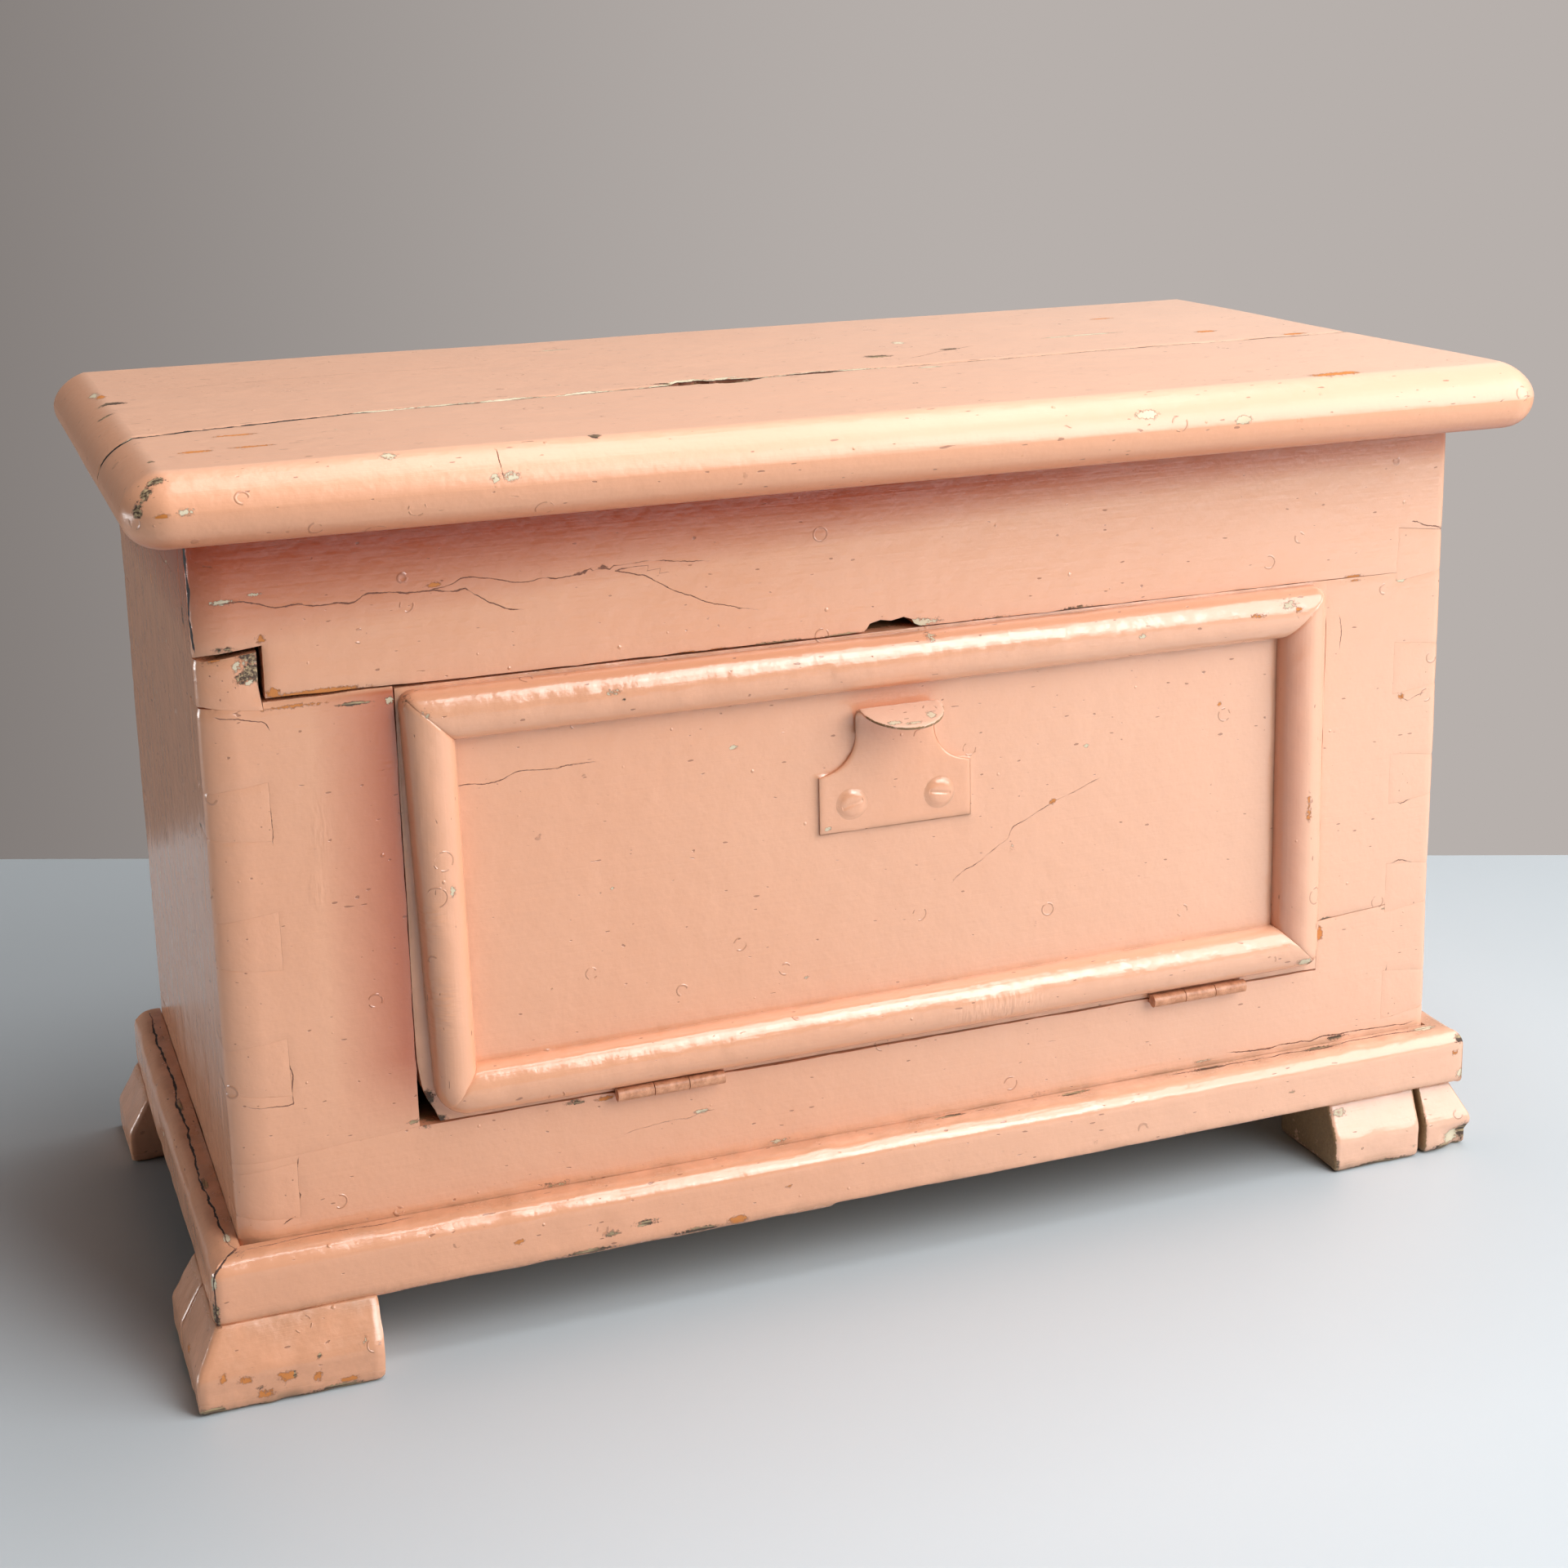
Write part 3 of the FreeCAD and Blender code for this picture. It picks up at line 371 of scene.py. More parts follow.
def netOf(outline, us, vs):
    # squares of a grid whose middles lie inside the outline; the net's rim is then drawn onto the outline
    outline = np.array(outline, float)
    points = np.stack([g.ravel() for g in np.meshgrid(us, vs)], 1)
    index = np.arange(len(us) * len(vs)).reshape(len(vs), len(us))
    cells = np.stack([index[:-1, :-1], index[:-1, 1:], index[1:, 1:], index[1:, :-1]], -1).reshape(-1, 4)
    cells = cells[insideOf(points[cells].mean(1), outline)]
    used, cells = np.unique(cells, return_inverse=True)
    points, cells = points[used], cells.reshape(-1, 4)
    rim = np.unique(rimOf(cells, len(points)))
    loop = np.vstack([outline, outline[:1]])
    points[rim] = nearestOn(points[rim], loop)[0]
    for corner in outline:
        points[rim[np.argmin(np.hypot(*(points[rim] - corner).T))]] = corner
    # points that now coincide become one, and the squares that this closes up are left out
    points, same = np.unique(np.round(points, 3), axis=0, return_inverse=True)
    cells = same.reshape(-1)[cells]
    kinds = 1 + (np.diff(np.sort(cells, axis=1), axis=1) > 0).sum(1)
    whole = (kinds > 2) & (cells[:, 0] != cells[:, 2]) & (cells[:, 1] != cells[:, 3])
    used, cells = np.unique(cells[whole], return_inverse=True)
    return points[used], cells.reshape(-1, 4)


def sawn(outline, gapAt, step=4.0, stray=0.22):
    # an outline as it was sawn: every side in short runs, moved in by its own half gap (runs meet where their
    # moved lines cross), then shifted by a noise that neighbouring boards share; runs without a gap stay true
    outline = np.array(outline, float)
    runs = []
    for a, b in zip(outline, np.roll(outline, -1, axis=0)):
        count = max(1, round(np.hypot(*(b - a)) / step))
        runs.append(a + (b - a) * np.linspace(0, 1, count, endpoint=False)[:, None])
    outline = np.vstack(runs)
    ahead = np.roll(outline, -1, axis=0)
    run = ahead - outline
    run /= np.hypot(*run.T)[:, None]
    normal = np.stack([-run[:, 1], run[:, 0]], 1)
    gap = gapAt((outline + ahead) / 2)
    before, gapBefore = np.roll(normal, 1, axis=0), np.roll(gap, 1)
    cross = before[:, 0] * normal[:, 1] - before[:, 1] * normal[:, 0]
    straight = np.abs(cross) < 0.05
    safe = np.where(straight, 1, cross)
    meet = np.stack([gapBefore * normal[:, 1] - gap * before[:, 1],
        gap * before[:, 0] - gapBefore * normal[:, 0]], 1)
    moved = outline + np.where(straight[:, None], normal * ((gap + gapBefore) / 2)[:, None],
        meet / safe[:, None])
    flat = np.column_stack([outline, np.zeros(len(outline))])
    wander = np.stack([lumps(flat, 7, 91) + 0.5 * lumps(flat, 2.6, 92),
        lumps(flat, 7, 93) + 0.5 * lumps(flat, 2.6, 94)], 1)
    return moved + stray * wander * (np.minimum(gap, gapBefore) > 0)[:, None], gap


def rounded(a, b):
    # a square corner drawn onto a quarter circle; a and b are measured from the circle's middle, and what
    # comes back is where the corner was turned, and the new a and b
    turned = (a > 0) & (b > 0)
    scale = np.where(turned, np.maximum(a, b) / np.where(turned, np.hypot(a, b), 1), 1)
    return turned, a * scale, b * scale


def makePiece(name, points, faces, marks, material, body, slot="painted_pine", replaced=None, sharp=38):
    # points in mm, faces as index arrays; doubles are merged and the closed skin is turned outwards
    mesh = bpy.data.meshes.new(name)
    rings = [tuple(dict.fromkeys(f)) for part in faces for f in part.tolist()]
    mesh.from_pydata((points * 0.001).tolist(), [], rings)
    for mark, values in marks.items():
        layer = mesh.attributes.new(mark, "FLOAT_VECTOR", "POINT")
        layer.data.foreach_set("vector", np.ascontiguousarray(values, np.float32).ravel())
    work = bmesh.new()
    work.from_mesh(mesh)
    bmesh.ops.remove_doubles(work, verts=work.verts, dist=2e-6)
    bmesh.ops.dissolve_degenerate(work, edges=work.edges, dist=1e-7)
    loose = [v for v in work.verts if not v.link_faces]
    bmesh.ops.delete(work, geom=loose, context="VERTS")
    if work.calc_volume(signed=True) < 0:
        bmesh.ops.reverse_faces(work, faces=work.faces)
    open_ = sum(1 for e in work.edges if not e.is_manifold)
    work.to_mesh(mesh)
    work.free()
    mesh.shade_smooth()
    mesh.set_sharp_from_angle(angle=math.radians(sharp))
    piece = bpy.data.objects.new(name, mesh)
    scene.collection.objects.link(piece)
    mesh.materials.append(material)
    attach(piece, body)
    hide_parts(replaced or name)
    print("  ", name, len(mesh.vertices), "points", len(mesh.polygons), "faces", open_, "open")
    return piece


def plate(name, outline, us, vs, levels, place, marksAt, **how):
    # two skins over one net, and the rim between them carried through the levels in between;
    # place(u, v, level, away, run) gives the point, and marksAt(u, v, level, away, run, points) its marks:
    # away is the distance to the outline, and run the number of the outline's nearest run
    flat, cells = netOf(outline, us, vs)
    count = len(flat)
    _, away, share = nearestOn(flat, np.vstack([outline, outline[:1]]))
    away, run = np.abs(away), np.minimum((share * len(outline)).astype(int), len(outline) - 1)
    rim = rimOf(cells, count)
    ids = np.unique(rim)
    slots = np.full(count, -1)
    slots[ids] = np.arange(len(ids))
    middle = levels[1:-1]
    u = np.concatenate([flat[:, 0], flat[:, 0]] + [flat[ids, 0]] * len(middle))
    v = np.concatenate([flat[:, 1], flat[:, 1]] + [flat[ids, 1]] * len(middle))
    level = np.concatenate([np.full(count, levels[0]), np.full(count, levels[-1])]
        + [np.full(len(ids), m) for m in middle])
    away = np.concatenate([away, away] + [away[ids]] * len(middle))
    run = np.concatenate([run, run] + [run[ids]] * len(middle))
    points = place(u, v, level, away, run)

    def at(step, i):
        if step == 0:
            return i
        if step == len(levels) - 1:
            return i + count
        return slots[i] + 2 * count + (step - 1) * len(ids)

    faces = [cells, cells[:, ::-1] + count]
    for step in range(len(levels) - 1):
        a, b = rim.T
        faces.append(np.stack([at(step, a), at(step + 1, a), at(step + 1, b), at(step, b)], 1))
    return makePiece(name, points, faces, marksAt(u, v, level, away, run, points), **how)


def chipMarks(points, spots):
    # for each layer, 1 at the edge of a spot and 2 in its middle: two less the scaled distance to the middle
    marks = np.zeros((len(points), 3))
    for layer, x, y, z, rx, ry, rz in spots:
        away = np.sqrt((((points - (x, y, z)) / (rx, ry, rz)) ** 2).sum(1))
        marks[:, layer] = np.maximum(marks[:, layer], np.clip(2 - away, 0, 2))
    return marks


def onFront(spots):
    # chips on the front face, given as layer, x, z and the radii in x and z
    return [(layer, x, -95, z, rx, 3, rz) for layer, x, z, rx, rz in spots]


def crackMarks(flat, lines):
    # distance to the nearest line with its side as sign, and the line's half width, narrowing to its ends
    marks = np.zeros((len(flat), 3))
    best = np.full(len(flat), 1e9)
    deep = np.column_stack([flat, np.zeros(len(flat))])
    stray = np.stack([lumps(deep, 6, 71) + 0.4 * lumps(deep, 2.7, 72),
        lumps(deep, 6, 73) + 0.4 * lumps(deep, 2.7, 74)], 1)
    flat = flat + 0.7 * stray
    for half, path in lines:
        _, away, share = nearestOn(flat, np.array(path, float))
        near = (np.abs(away) < 4) & (np.abs(away) < best)
        taper = np.clip(np.minimum(share, 1 - share) * 12, 0.25, 1)
        inside = (share > 0.001) & (share < 0.999)
        marks[near, 0] = away[near]
        marks[near, 1] = (half * taper * inside)[near]
        best[near] = np.abs(away[near])
    return marks


# The carcass: its four walls are cut from one band, unrolled round the outside

case = {
    "half": 225, "front": -94.75, "back": 119.25, "wall": 20, "bottom": 41, "top": 281,
    "pins": (62.75, 105.5, 148.25, 191.0, 233.75),
    "pinInside": 9.75, "pinOutside": 7.55,      # half heights of a pin at its shoulder and its end
    # how far a rounding reaches before and after each turn
    "corners": ((3, 3), (5, 11), (3, 3), (3, 3), (3, 3)),
    "innerRound": 0.5,
    "joint": 0.02,                              # half the gap of a joint that the paint still fills
    "groove": 0.12,                             # how far the paint sinks at such a joint
}
half, front, back, bottom, top = (case[key] for key in ("half", "front", "back", "bottom", "top"))
around = half + back - front        # from the middle of the front to the back corners
turns = np.array([-around, -half, half, around, around + 2 * half])
turnPlaces = np.array([(-half, back), (-half, front), (half, front), (half, back), (-half, back)])
runDirs = np.array([(-1, 0), (0, -1), (1, 0), (0, 1), (-1, 0), (0, -1.0)])


def bandAt(s, z, depth, push):
    # along the band: straight runs with turns eased by a curve of the second degree, drawn 0.38 of the way to
    # its chord, (1-t)^2 A + 2t(1-t) C + t^2 B; inwards: straight to the inner rectangle, whose corners are
    # arcs c + e n(s)
    stops = [-turns[-1], *turns, turns[-1] + back - front]
    x = np.interp(s, stops, [half, *turnPlaces[:, 0], -half])
    y = np.interp(s, stops, [back, *turnPlaces[:, 1], front])
    ahead = runDirs[np.searchsorted(turns, s)]
    normal = np.stack([ahead[:, 1], -ahead[:, 0]], 1)
    spot = np.stack([x, y], 1)
    for turn, corner, d1, d2, (r1, r2) in zip(turns, turnPlaces, runDirs[:-1], runDirs[1:], case["corners"]):
        near = (s > turn - r1) & (s < turn + r2)
        t = ((s[near] - turn + r1) / (r1 + r2))[:, None]
        a, b = corner - d1 * r1, corner + d2 * r2
        bow = (1 - t) ** 2 * a + 2 * t * (1 - t) * corner + t ** 2 * b
        spot[near] = 0.62 * bow + 0.38 * (a + (b - a) * t)
        lean = -d2 * (1 - t) + d1 * t
        normal[near] = lean / np.hypot(*lean.T)[:, None]
    spot = spot + normal * push[:, None]
    e, wall = case["innerRound"], case["wall"]
    facing = np.stack([ahead[:, 1], -ahead[:, 0]], 1)
    for turn, d1, d2 in zip(turns, runDirs[:-1], runDirs[1:]):
        near = np.abs(s - turn) < wall + e
        phi = ((s[near] - turn) / (wall + e) + 1)[:, None] * math.pi / 4
        facing[near] = np.cos(phi) * (d1[1], -d1[0]) + np.sin(phi) * (d2[1], -d2[0])
    inner = np.stack([np.clip(x, wall - half + e, half - wall - e),
        np.clip(y, front + wall + e, back - wall - e)], 1)
    inner += e * facing
    k = (depth / wall)[:, None]
    return np.column_stack([spot * (1 - k) + inner * k, z])


def combAt(corner, side, low, high):
    # the line of a corner's dovetail joint from low to high: at a pin it lies a wall before the corner, and
    # between the pins a wall beyond it, to the right for side 1 and to the left for -1
    end, shoulder = corner + side * case["wall"], corner - side * case["wall"]
    inside, outside = case["pinInside"], case["pinOutside"]
    path = []
    for pin in case["pins"]:
        if pin + inside <= low or pin - inside >= high:
            continue
        if pin - inside > low:
            path += [(end, pin - outside), (corner, pin - outside), (shoulder, pin - inside)]
        else:
            path += [(shoulder, low)]
        if pin + inside < high:
            path += [(shoulder, pin + inside), (corner, pin + outside), (end, pin + outside)]
        else:
            path += [(shoulder, high)]
    if path[0][0] == end:
        path = [(end, low), *path]
    if path[-1][0] == end:
        path = [*path, (end, high)]
    return path


def bedsIn(beds, level, deep):
    # an edge at a level, from right to left, with a recess as deep as given at each bed
    return [spot for a, b in beds[::-1] for spot in ((b, level), (b, deep), (a, deep), (a, level))]


def stepsTo(low, high, size):
    # even steps of about the size given, both ends included
    return np.linspace(low, high, max(2, round((high - low) / size) + 1))


def wallBoard(name, outline, size, marks, material, beds=(), gapAt=None):
    # a board of the band: its outer skin swells by slow noise and sinks beside a joint by g exp(-distance / w)
    gapAt = gapAt or (lambda middle: np.full(len(middle), case["joint"]))
    outline, gaps = sawn(outline, lambda middle: gapAt(middle)
        * (np.abs(middle[:, 1] - (bottom + top) / 2) < 119.9))
    low, high = outline.min(0), outline.max(0)

    def place(s, z, depth, away, run):
        none = np.zeros(len(s))
        flat = bandAt(s, z, none, none)
        push = 0.3 * lumps(flat, 55, 11) + 0.12 * lumps(flat, 14, 12) - 0.08
        edge = case["groove"] + 0.9 * np.minimum(gaps[run], 0.5)
        push -= edge * np.exp(-away / (0.7 + 0.6 * gaps[run])) * (1 + 0.4 * lumps(flat, 11, 13))
        for s0, s1, top, drop, reach in beds:
            sunk = (s > s0) & (s < s1) & (z > top - drop - 0.5) & (depth > reach) & (away < 0.02)
            z = np.where(sunk, top, z)
        return bandAt(s, z, depth, np.where(depth < 0.01, push, -0.15 * (depth < 1)))

    def marksAt(s, z, depth, away, run, points):
        flat = np.stack([s, z], 1)
        cover = np.clip(1.6 - depth / 2.4, 0, 1)
        # darker just above the plinth and beside open joints: dirt with painted crease shade
        dirtAndShade = 0.6 * np.clip((49.5 - z) / 2, 0, 1) + 0.5 * np.exp(-away / 1.0) * np.clip(gaps[run] * 3, 0, 1)
        outer = (depth < 0.01)[:, None]
        first = crackMarks(flat, marks.get("cracks", []))
        first[:, 2] = 0.5 * patchAt(points, marks.get("wrinkles", []))
        second = crackMarks(flat, marks.get("moreCracks", [])) * outer
        # painted shade, a quarter as strong inside the wall's thickness
        second[:, 2] = shadeAt(s, z) * np.where(depth < 0.01, 1, 0.25)
        return paintMarks(points, cover, dirtAndShade, paintedSheenAt(points),
            chips=chipMarks(points, marks.get("chips", [])) * outer, crackOne=first * outer, crackTwo=second)

    levels = [0, 0.7, 2.2, 19.2, 20] if not beds else [0, 0.7, 2.2, beds[0][4] - 0.05, beds[0][4] + 0.05,
        19.2, 20]
    return plate(name, outline, stepsTo(low[0], high[0], size), stepsTo(low[1], high[1], size), levels, place,
        marksAt, material=material, body="carcass")


def paintMarks(points, cover, dirtAndShade, paintedSheen, **others):
    # what the paint's material reads at each point; a mark that is not given is zero
    coats = np.zeros((len(points), 3))
    coats[:, 0], coats[:, 1], coats[:, 2] = cover, dirtAndShade, paintedSheen
    none = np.zeros((len(points), 3))
    return {"coats": coats, "chips": none, "crackOne": none, "crackTwo": none, **others}


def paintedSheenAt(points):
    # painted sheen: the paint is drawn paler towards the right, where the key light falls and shines on the
    # gloss
    return 0.5 * np.clip((points[:, 0] + 60) / 285, 0, 1)


def shadeAt(s, z):
    # painted shade: under the lid's overhang and in the shadow the moulding casts beside the flap, the paint
    # is drawn deeper and redder
    start = np.interp(s, (-225, -80, 60, 225), (242, 254, 262, 266))
    under = np.clip((z - start) / (274 - start), 0, 1) * (1 - 0.5 * np.clip((s + 20) / 240, 0, 1))
    beside = 0.78 * np.clip(1.1 - np.abs(s + 165) / 24, 0, 1) * np.clip((z - 76) / 26, 0, 1) * (z < 226)
    return np.maximum(under, beside)


def patchAt(points, patches):
    # 1 in the middle of each patch, falling to 0 at its edge
    best = np.zeros(len(points))
    for x, y, z, rx, ry, rz in patches:
        away = np.sqrt((((points - (x, y, z)) / (rx, ry, rz)) ** 2).sum(1))
        best = np.maximum(best, np.clip(1.5 * (1 - away), 0, 1))
    return best


# Layers of a chip: 0 primer, 1 the old orange coat, 2 grey wood. Places are read off the photograph.
frontWear = {
    "top": {
        "chips": onFront([(0, -215, 259.1, 4.2, 0.9), (0, -205, 260.4, 2.4, 0.6),
            (1, -204.4, 246.6, 1.4, 1.2), (1, -187, 227.3, 15, 1.3), (1, -202, 229, 2.2, 1.6),
            (2, -217, 244, 5, 0.7), (1, -150, 258.2, 2.4, 0.8), (1, 186, 227.4, 3.6, 0.8),
            (2, 222, 240.6, 2.6, 0.9), (0, 15, 228.6, 7, 1.3), (2, -36, 227.4, 9, 0.55),
            (2, -14, 227.4, 7, 0.5), (2, 74, 227.6, 6, 0.6), (2, 42, 227.6, 9, 0.45),
            (1, -62, 227.5, 8, 0.4)]),
        "cracks": [(1, [(-228.2, 281.5), (-229, 272), (-228, 262), (-229.2, 254), (-228, 247),
            (-227.2, 243.6)]), (0.17, [(-218, 258.6), (-209, 259.4), (-198.5, 256.5), (-176, 255.2),
            (-172, 257.4), (-156.7, 256.6), (-139.9, 255.7), (-127, 248.3), (-121, 246.8)]),
            (0.15, [(209.6, 245.1), (214, 244.7), (224.5, 241.4)])],
        "moreCracks": [(0.13, [(-152, 256.4), (-147.6, 257), (-141, 259.5), (-131.9, 258), (-121.4, 256.4),
            (-105.3, 256.7), (-93, 257.6), (-80.8, 254.3), (-67.2, 246.1), (-49, 240.1), (-42, 239)]),
            (0.1, [(-110, 257.3), (-91.7, 258.9), (-74, 258.6), (-57, 257.4)]),
            (0.12, [(-244.6, 281), (-243.8, 268), (-244.8, 256), (-244.2, 244)])],
    },
    "left": {
        "chips": onFront([(2, -216, 226.6, 4.5, 0.9), (1, -196, 223.9, 9.5, 0.7), (2, -178, 223, 5.5, 0.5),
            (2, -166.4, 79.4, 2, 0.8), (0, -166, 222.5, 1.6, 1.5)]),
        "cracks": [(0.13, [(-222.8, 223.3), (-214, 222.4), (-205.7, 220.4), (-203.9, 216.5)]),
            (0.1, [(-206, 200.2), (-205.4, 190), (-204.7, 180.5)])],
        "moreCracks": [(0.12, [(-222.7, 112.4), (-213, 111.2), (-206, 108.6), (-204.4, 103), (-204.3, 92.5),
            (-209, 92.6), (-220, 94)]), (0.09, [(-205.5, 154.7), (-205.8, 146), (-205.3, 138.2)])],
        "wrinkles": [(-190, -95, 183, 4.5, 3, 15), (-192, -95, 164, 3.5, 3, 9)],
    },
    "right": {
        "chips": onFront([(1, 186, 226.2, 5, 0.6), (0, 206.6, 224.6, 2, 1.2), (2, 179, 97.4, 3.5, 0.6),
            (0, 213.5, 141, 3, 0.6), (1, 208.3, 180, 1.4, 1.4)]),
        "cracks": [(0.13, [(208.8, 224.9), (212.5, 226.2), (216.7, 227.7)]),
            (0.12, [(208.3, 199.4), (208.2, 190), (208.3, 180.7), (211, 178.2), (219, 180)]),
            (0.08, [(181.5, 214), (182.4, 206.5), (182, 200)])],
        "moreCracks": [(0.12, [(208, 158.8), (207.6, 149), (208.3, 140.3), (210.5, 138.8), (217, 141),
            (224, 142.3)]), (0.12, [(206.9, 114.2), (211, 115.9), (218.4, 113.8), (224, 112.9)])],
    },
    "bottom": {
        "chips": onFront([(2, -162.6, 76.9, 2.4, 0.7), (0, -68, 64.9, 2.6, 0.7), (2, -112, 76.6, 3.6, 0.9),
            (1, -101, 76, 3.4, 0.7), (2, -66, 76.6, 3.4, 0.8), (2, 110, 76.6, 3.6, 0.9),
            (1, 118, 76, 2.6, 0.7), (2, 142, 76.7, 2.8, 0.8), (1, 176.5, 92, 1.2, 3.2),
            (2, 206.6, 97.4, 2.6, 0.7), (2, -120, 48.3, 5, 0.7), (0, -40, 48.6, 4, 0.6),
            (2, 62, 48.4, 5, 0.6), (0, 128, 48.7, 3.6, 0.6), (2, 186, 48.6, 6, 0.8)]),
        "cracks": [(0.13, [(-204.7, 74), (-206, 68), (-204.3, 60.4), (-207, 53.7), (-211, 51)]),
            (0.06, [(-96, 62), (-88, 62.5), (-78, 63.2), (-67, 64.7), (-60, 64.4)]),
            (0.12, [(206.3, 75), (206, 66), (206.4, 56.9), (210, 53.6), (222.8, 57.5)])],
        "moreCracks": [(0.16, [(137, 50.2), (160, 49.4), (186, 50), (205, 49.2), (222, 49.8)])],
    },
}


def seamAt(x):
    # the seam above the bottom board rises to the right by 0.0575
    return 77.5 + 0.0575 * (x + 164.5)


def frontGap(middle):
    # the joints have opened most at the top left corner and in the seams beside the flap
    x, z = middle[:, 0], middle[:, 1]
    gap = np.full(len(middle), case["joint"])
    seam = np.abs(z - 227) < 1
    gap[(x < -229) & (z > 242)] = 0.05
    gap[(x > -229) & (x < -206) & (z > 240.5)] = 0.95
    gap[(np.abs(x + 205) < 1) & (z > 227) & (z < 243)] = 0.95
    gap[seam & (x < -160)] = np.interp(x[seam & (x < -160)], (-205, -190, -170), (0.62, 0.5, 0.2))
    gap[seam & (x > 172) & (x < 206)] = 0.05
    gap[(np.abs(z - seamAt(x)) < 1) & (x > 176) & (x < 205)] = 0.12
    gap[(x > 206) & (np.abs(z - 242.5) < 2)] = 0.09
    return gap


wallBoard("front_top_board", [(-164.5, 227.2), (-4.8, 227.2), (-3.6, 228.4), (-2.6, 229.9), (1.2, 230.9),
    (5.2, 230.2), (9.8, 231.0), (12.6, 229.9), (13.6, 228.2), (15.6, 227.2), (175.5, 227.2),
    *combAt(half, 1, 227, top), *combAt(-half, -1, 227, top)[::-1]], 1.35, frontWear["top"], paintX,
    gapAt=frontGap)
wallBoard("front_left_stile", [(-164.5, seamAt(-164.5)), (-164.5, 227),
    *combAt(-half, -1, seamAt(-245), 227)[::-1]], 1.35, frontWear["left"], paintX, gapAt=frontGap)
wallBoard("front_right_stile", [(175.5, seamAt(175.5)), *combAt(half, 1, seamAt(205), 227), (175.5, 227)],
    1.35, frontWear["right"], paintX, gapAt=frontGap)
hingeBeds = [(-98.1, -59.9), (104.9, 143.1)]
bottomOutline = [*combAt(half, 1, bottom, seamAt(205)), (175.5, seamAt(175.5)), (175.5, 77.5),
    *bedsIn(hingeBeds, 77.5, 76.2), (-164.5, 77.5), *combAt(-half, -1, bottom, seamAt(-245))[::-1]]
wallBoard("front_bottom_board", bottomOutline, 1.35, frontWear["bottom"], paintX,
    beds=[(a, b, 77.45, 1.3, 11.15) for a, b in hingeBeds], gapAt=frontGap)

sideWear = {
    "left": {
        "chips": [(2, -225, -74, 252, 3, 1.2, 3.4), (0, -225, -40, 262, 3, 2.2, 0.9),
            (1, -225, 12, 246, 3, 1.2, 2), (0, -225, 70, 120, 3, 1.6, 1.2),
            (2, -225, -76, 183.4, 3, 2.6, 0.8), (2, -225, -84, 98, 3, 2.8, 0.7),
            (0, -225, 104, 214, 3, 1.2, 2.4), (0, -211.8, -95, 238.6, 1.3, 3, 1.6),
            (0, -209.4, -95, 240.6, 2.2, 3, 0.9), (0, -213.6, -95, 240.2, 1.3, 3, 0.9),
            (2, -208.2, -95, 236.6, 2.4, 3, 2.4), (0, -206.9, -95, 239.8, 1.5, 3, 1.3),
            (2, -211.4, -95, 234.4, 1.8, 3, 1.5), (0, -208.8, -95, 233, 1.5, 3, 1.1),
            (2, -208, -95, 241.8, 4, 3, 1.1), (2, -206, -95, 236, 1.2, 3, 3.4),
            (0, -226, -77.5, 259.5, 3, 2, 5), (1, -219, -95, 240.8, 4, 3, 0.6)],
        "cracks": [(0.16, [(-262, 262), (-285, 261.4), (-312, 262.6), (-330, 262.0)])],
    },
    "right": {
        "chips": [(2, 225, -76, 227, 3, 2.8, 0.8), (0, 225, -20, 180, 3, 1.8, 1.2),
            (1, 225, 60, 242, 3, 2.4, 1), (0, 225, 98, 96, 3, 1.4, 2.2)],
    },
}


def sideGap(middle):
    # the joints of the left side have opened at its front top corner
    gap = np.full(len(middle), case["joint"])
    gap[(middle[:, 0] > -250) & (middle[:, 0] < -229) & (middle[:, 1] > 242)] = 0.05
    gap[(np.abs(middle[:, 0] + 217) < 11.5) & (middle[:, 1] > 240.5)] = 0.8
    gap[(np.abs(middle[:, 0] + 205) < 1) & (middle[:, 1] > 227) & (middle[:, 1] < 243)] = 0.9
    return gap


leftSide = [(case["wall"] - around, bottom), *combAt(-half, -1, bottom, top),
    *combAt(-around, 1, bottom, top)[:0:-1]]
wallBoard("side_left_board", leftSide, 1.9, sideWear["left"], paintY, gapAt=sideGap)
rightSide = [(half + case["wall"], bottom), *combAt(around, -1, bottom, top),
    *combAt(half, 1, bottom, top)[:0:-1]]
wallBoard("side_right_board", rightSide, 1.9, sideWear["right"], paintY)

lidBeds = [(490.95, 536.05), (791.95, 837.05)]
backLower = [*combAt(around + 2 * half, 1, bottom, 141.5), *combAt(around, -1, bottom, 141.5)[::-1]]
wallBoard("back_lower_board", backLower, 2.2, {}, paintX)
backUpper = [*combAt(around + 2 * half, 1, 141.5, top), *bedsIn(lidBeds, top, 279.3),
    *combAt(around, -1, 141.5, top)[::-1]]
wallBoard("back_upper_board", backUpper, 2.2, {"cracks": [(0.2, [(640, 250), (668, 248.6), (700, 249.4)])]},
    paintX, beds=[(a, b, 280.95, 1.7, 16.15) for a, b in lidBeds])
print("carcass walls ready")


# The lid: two boards with a broad nosing on the front and both ends

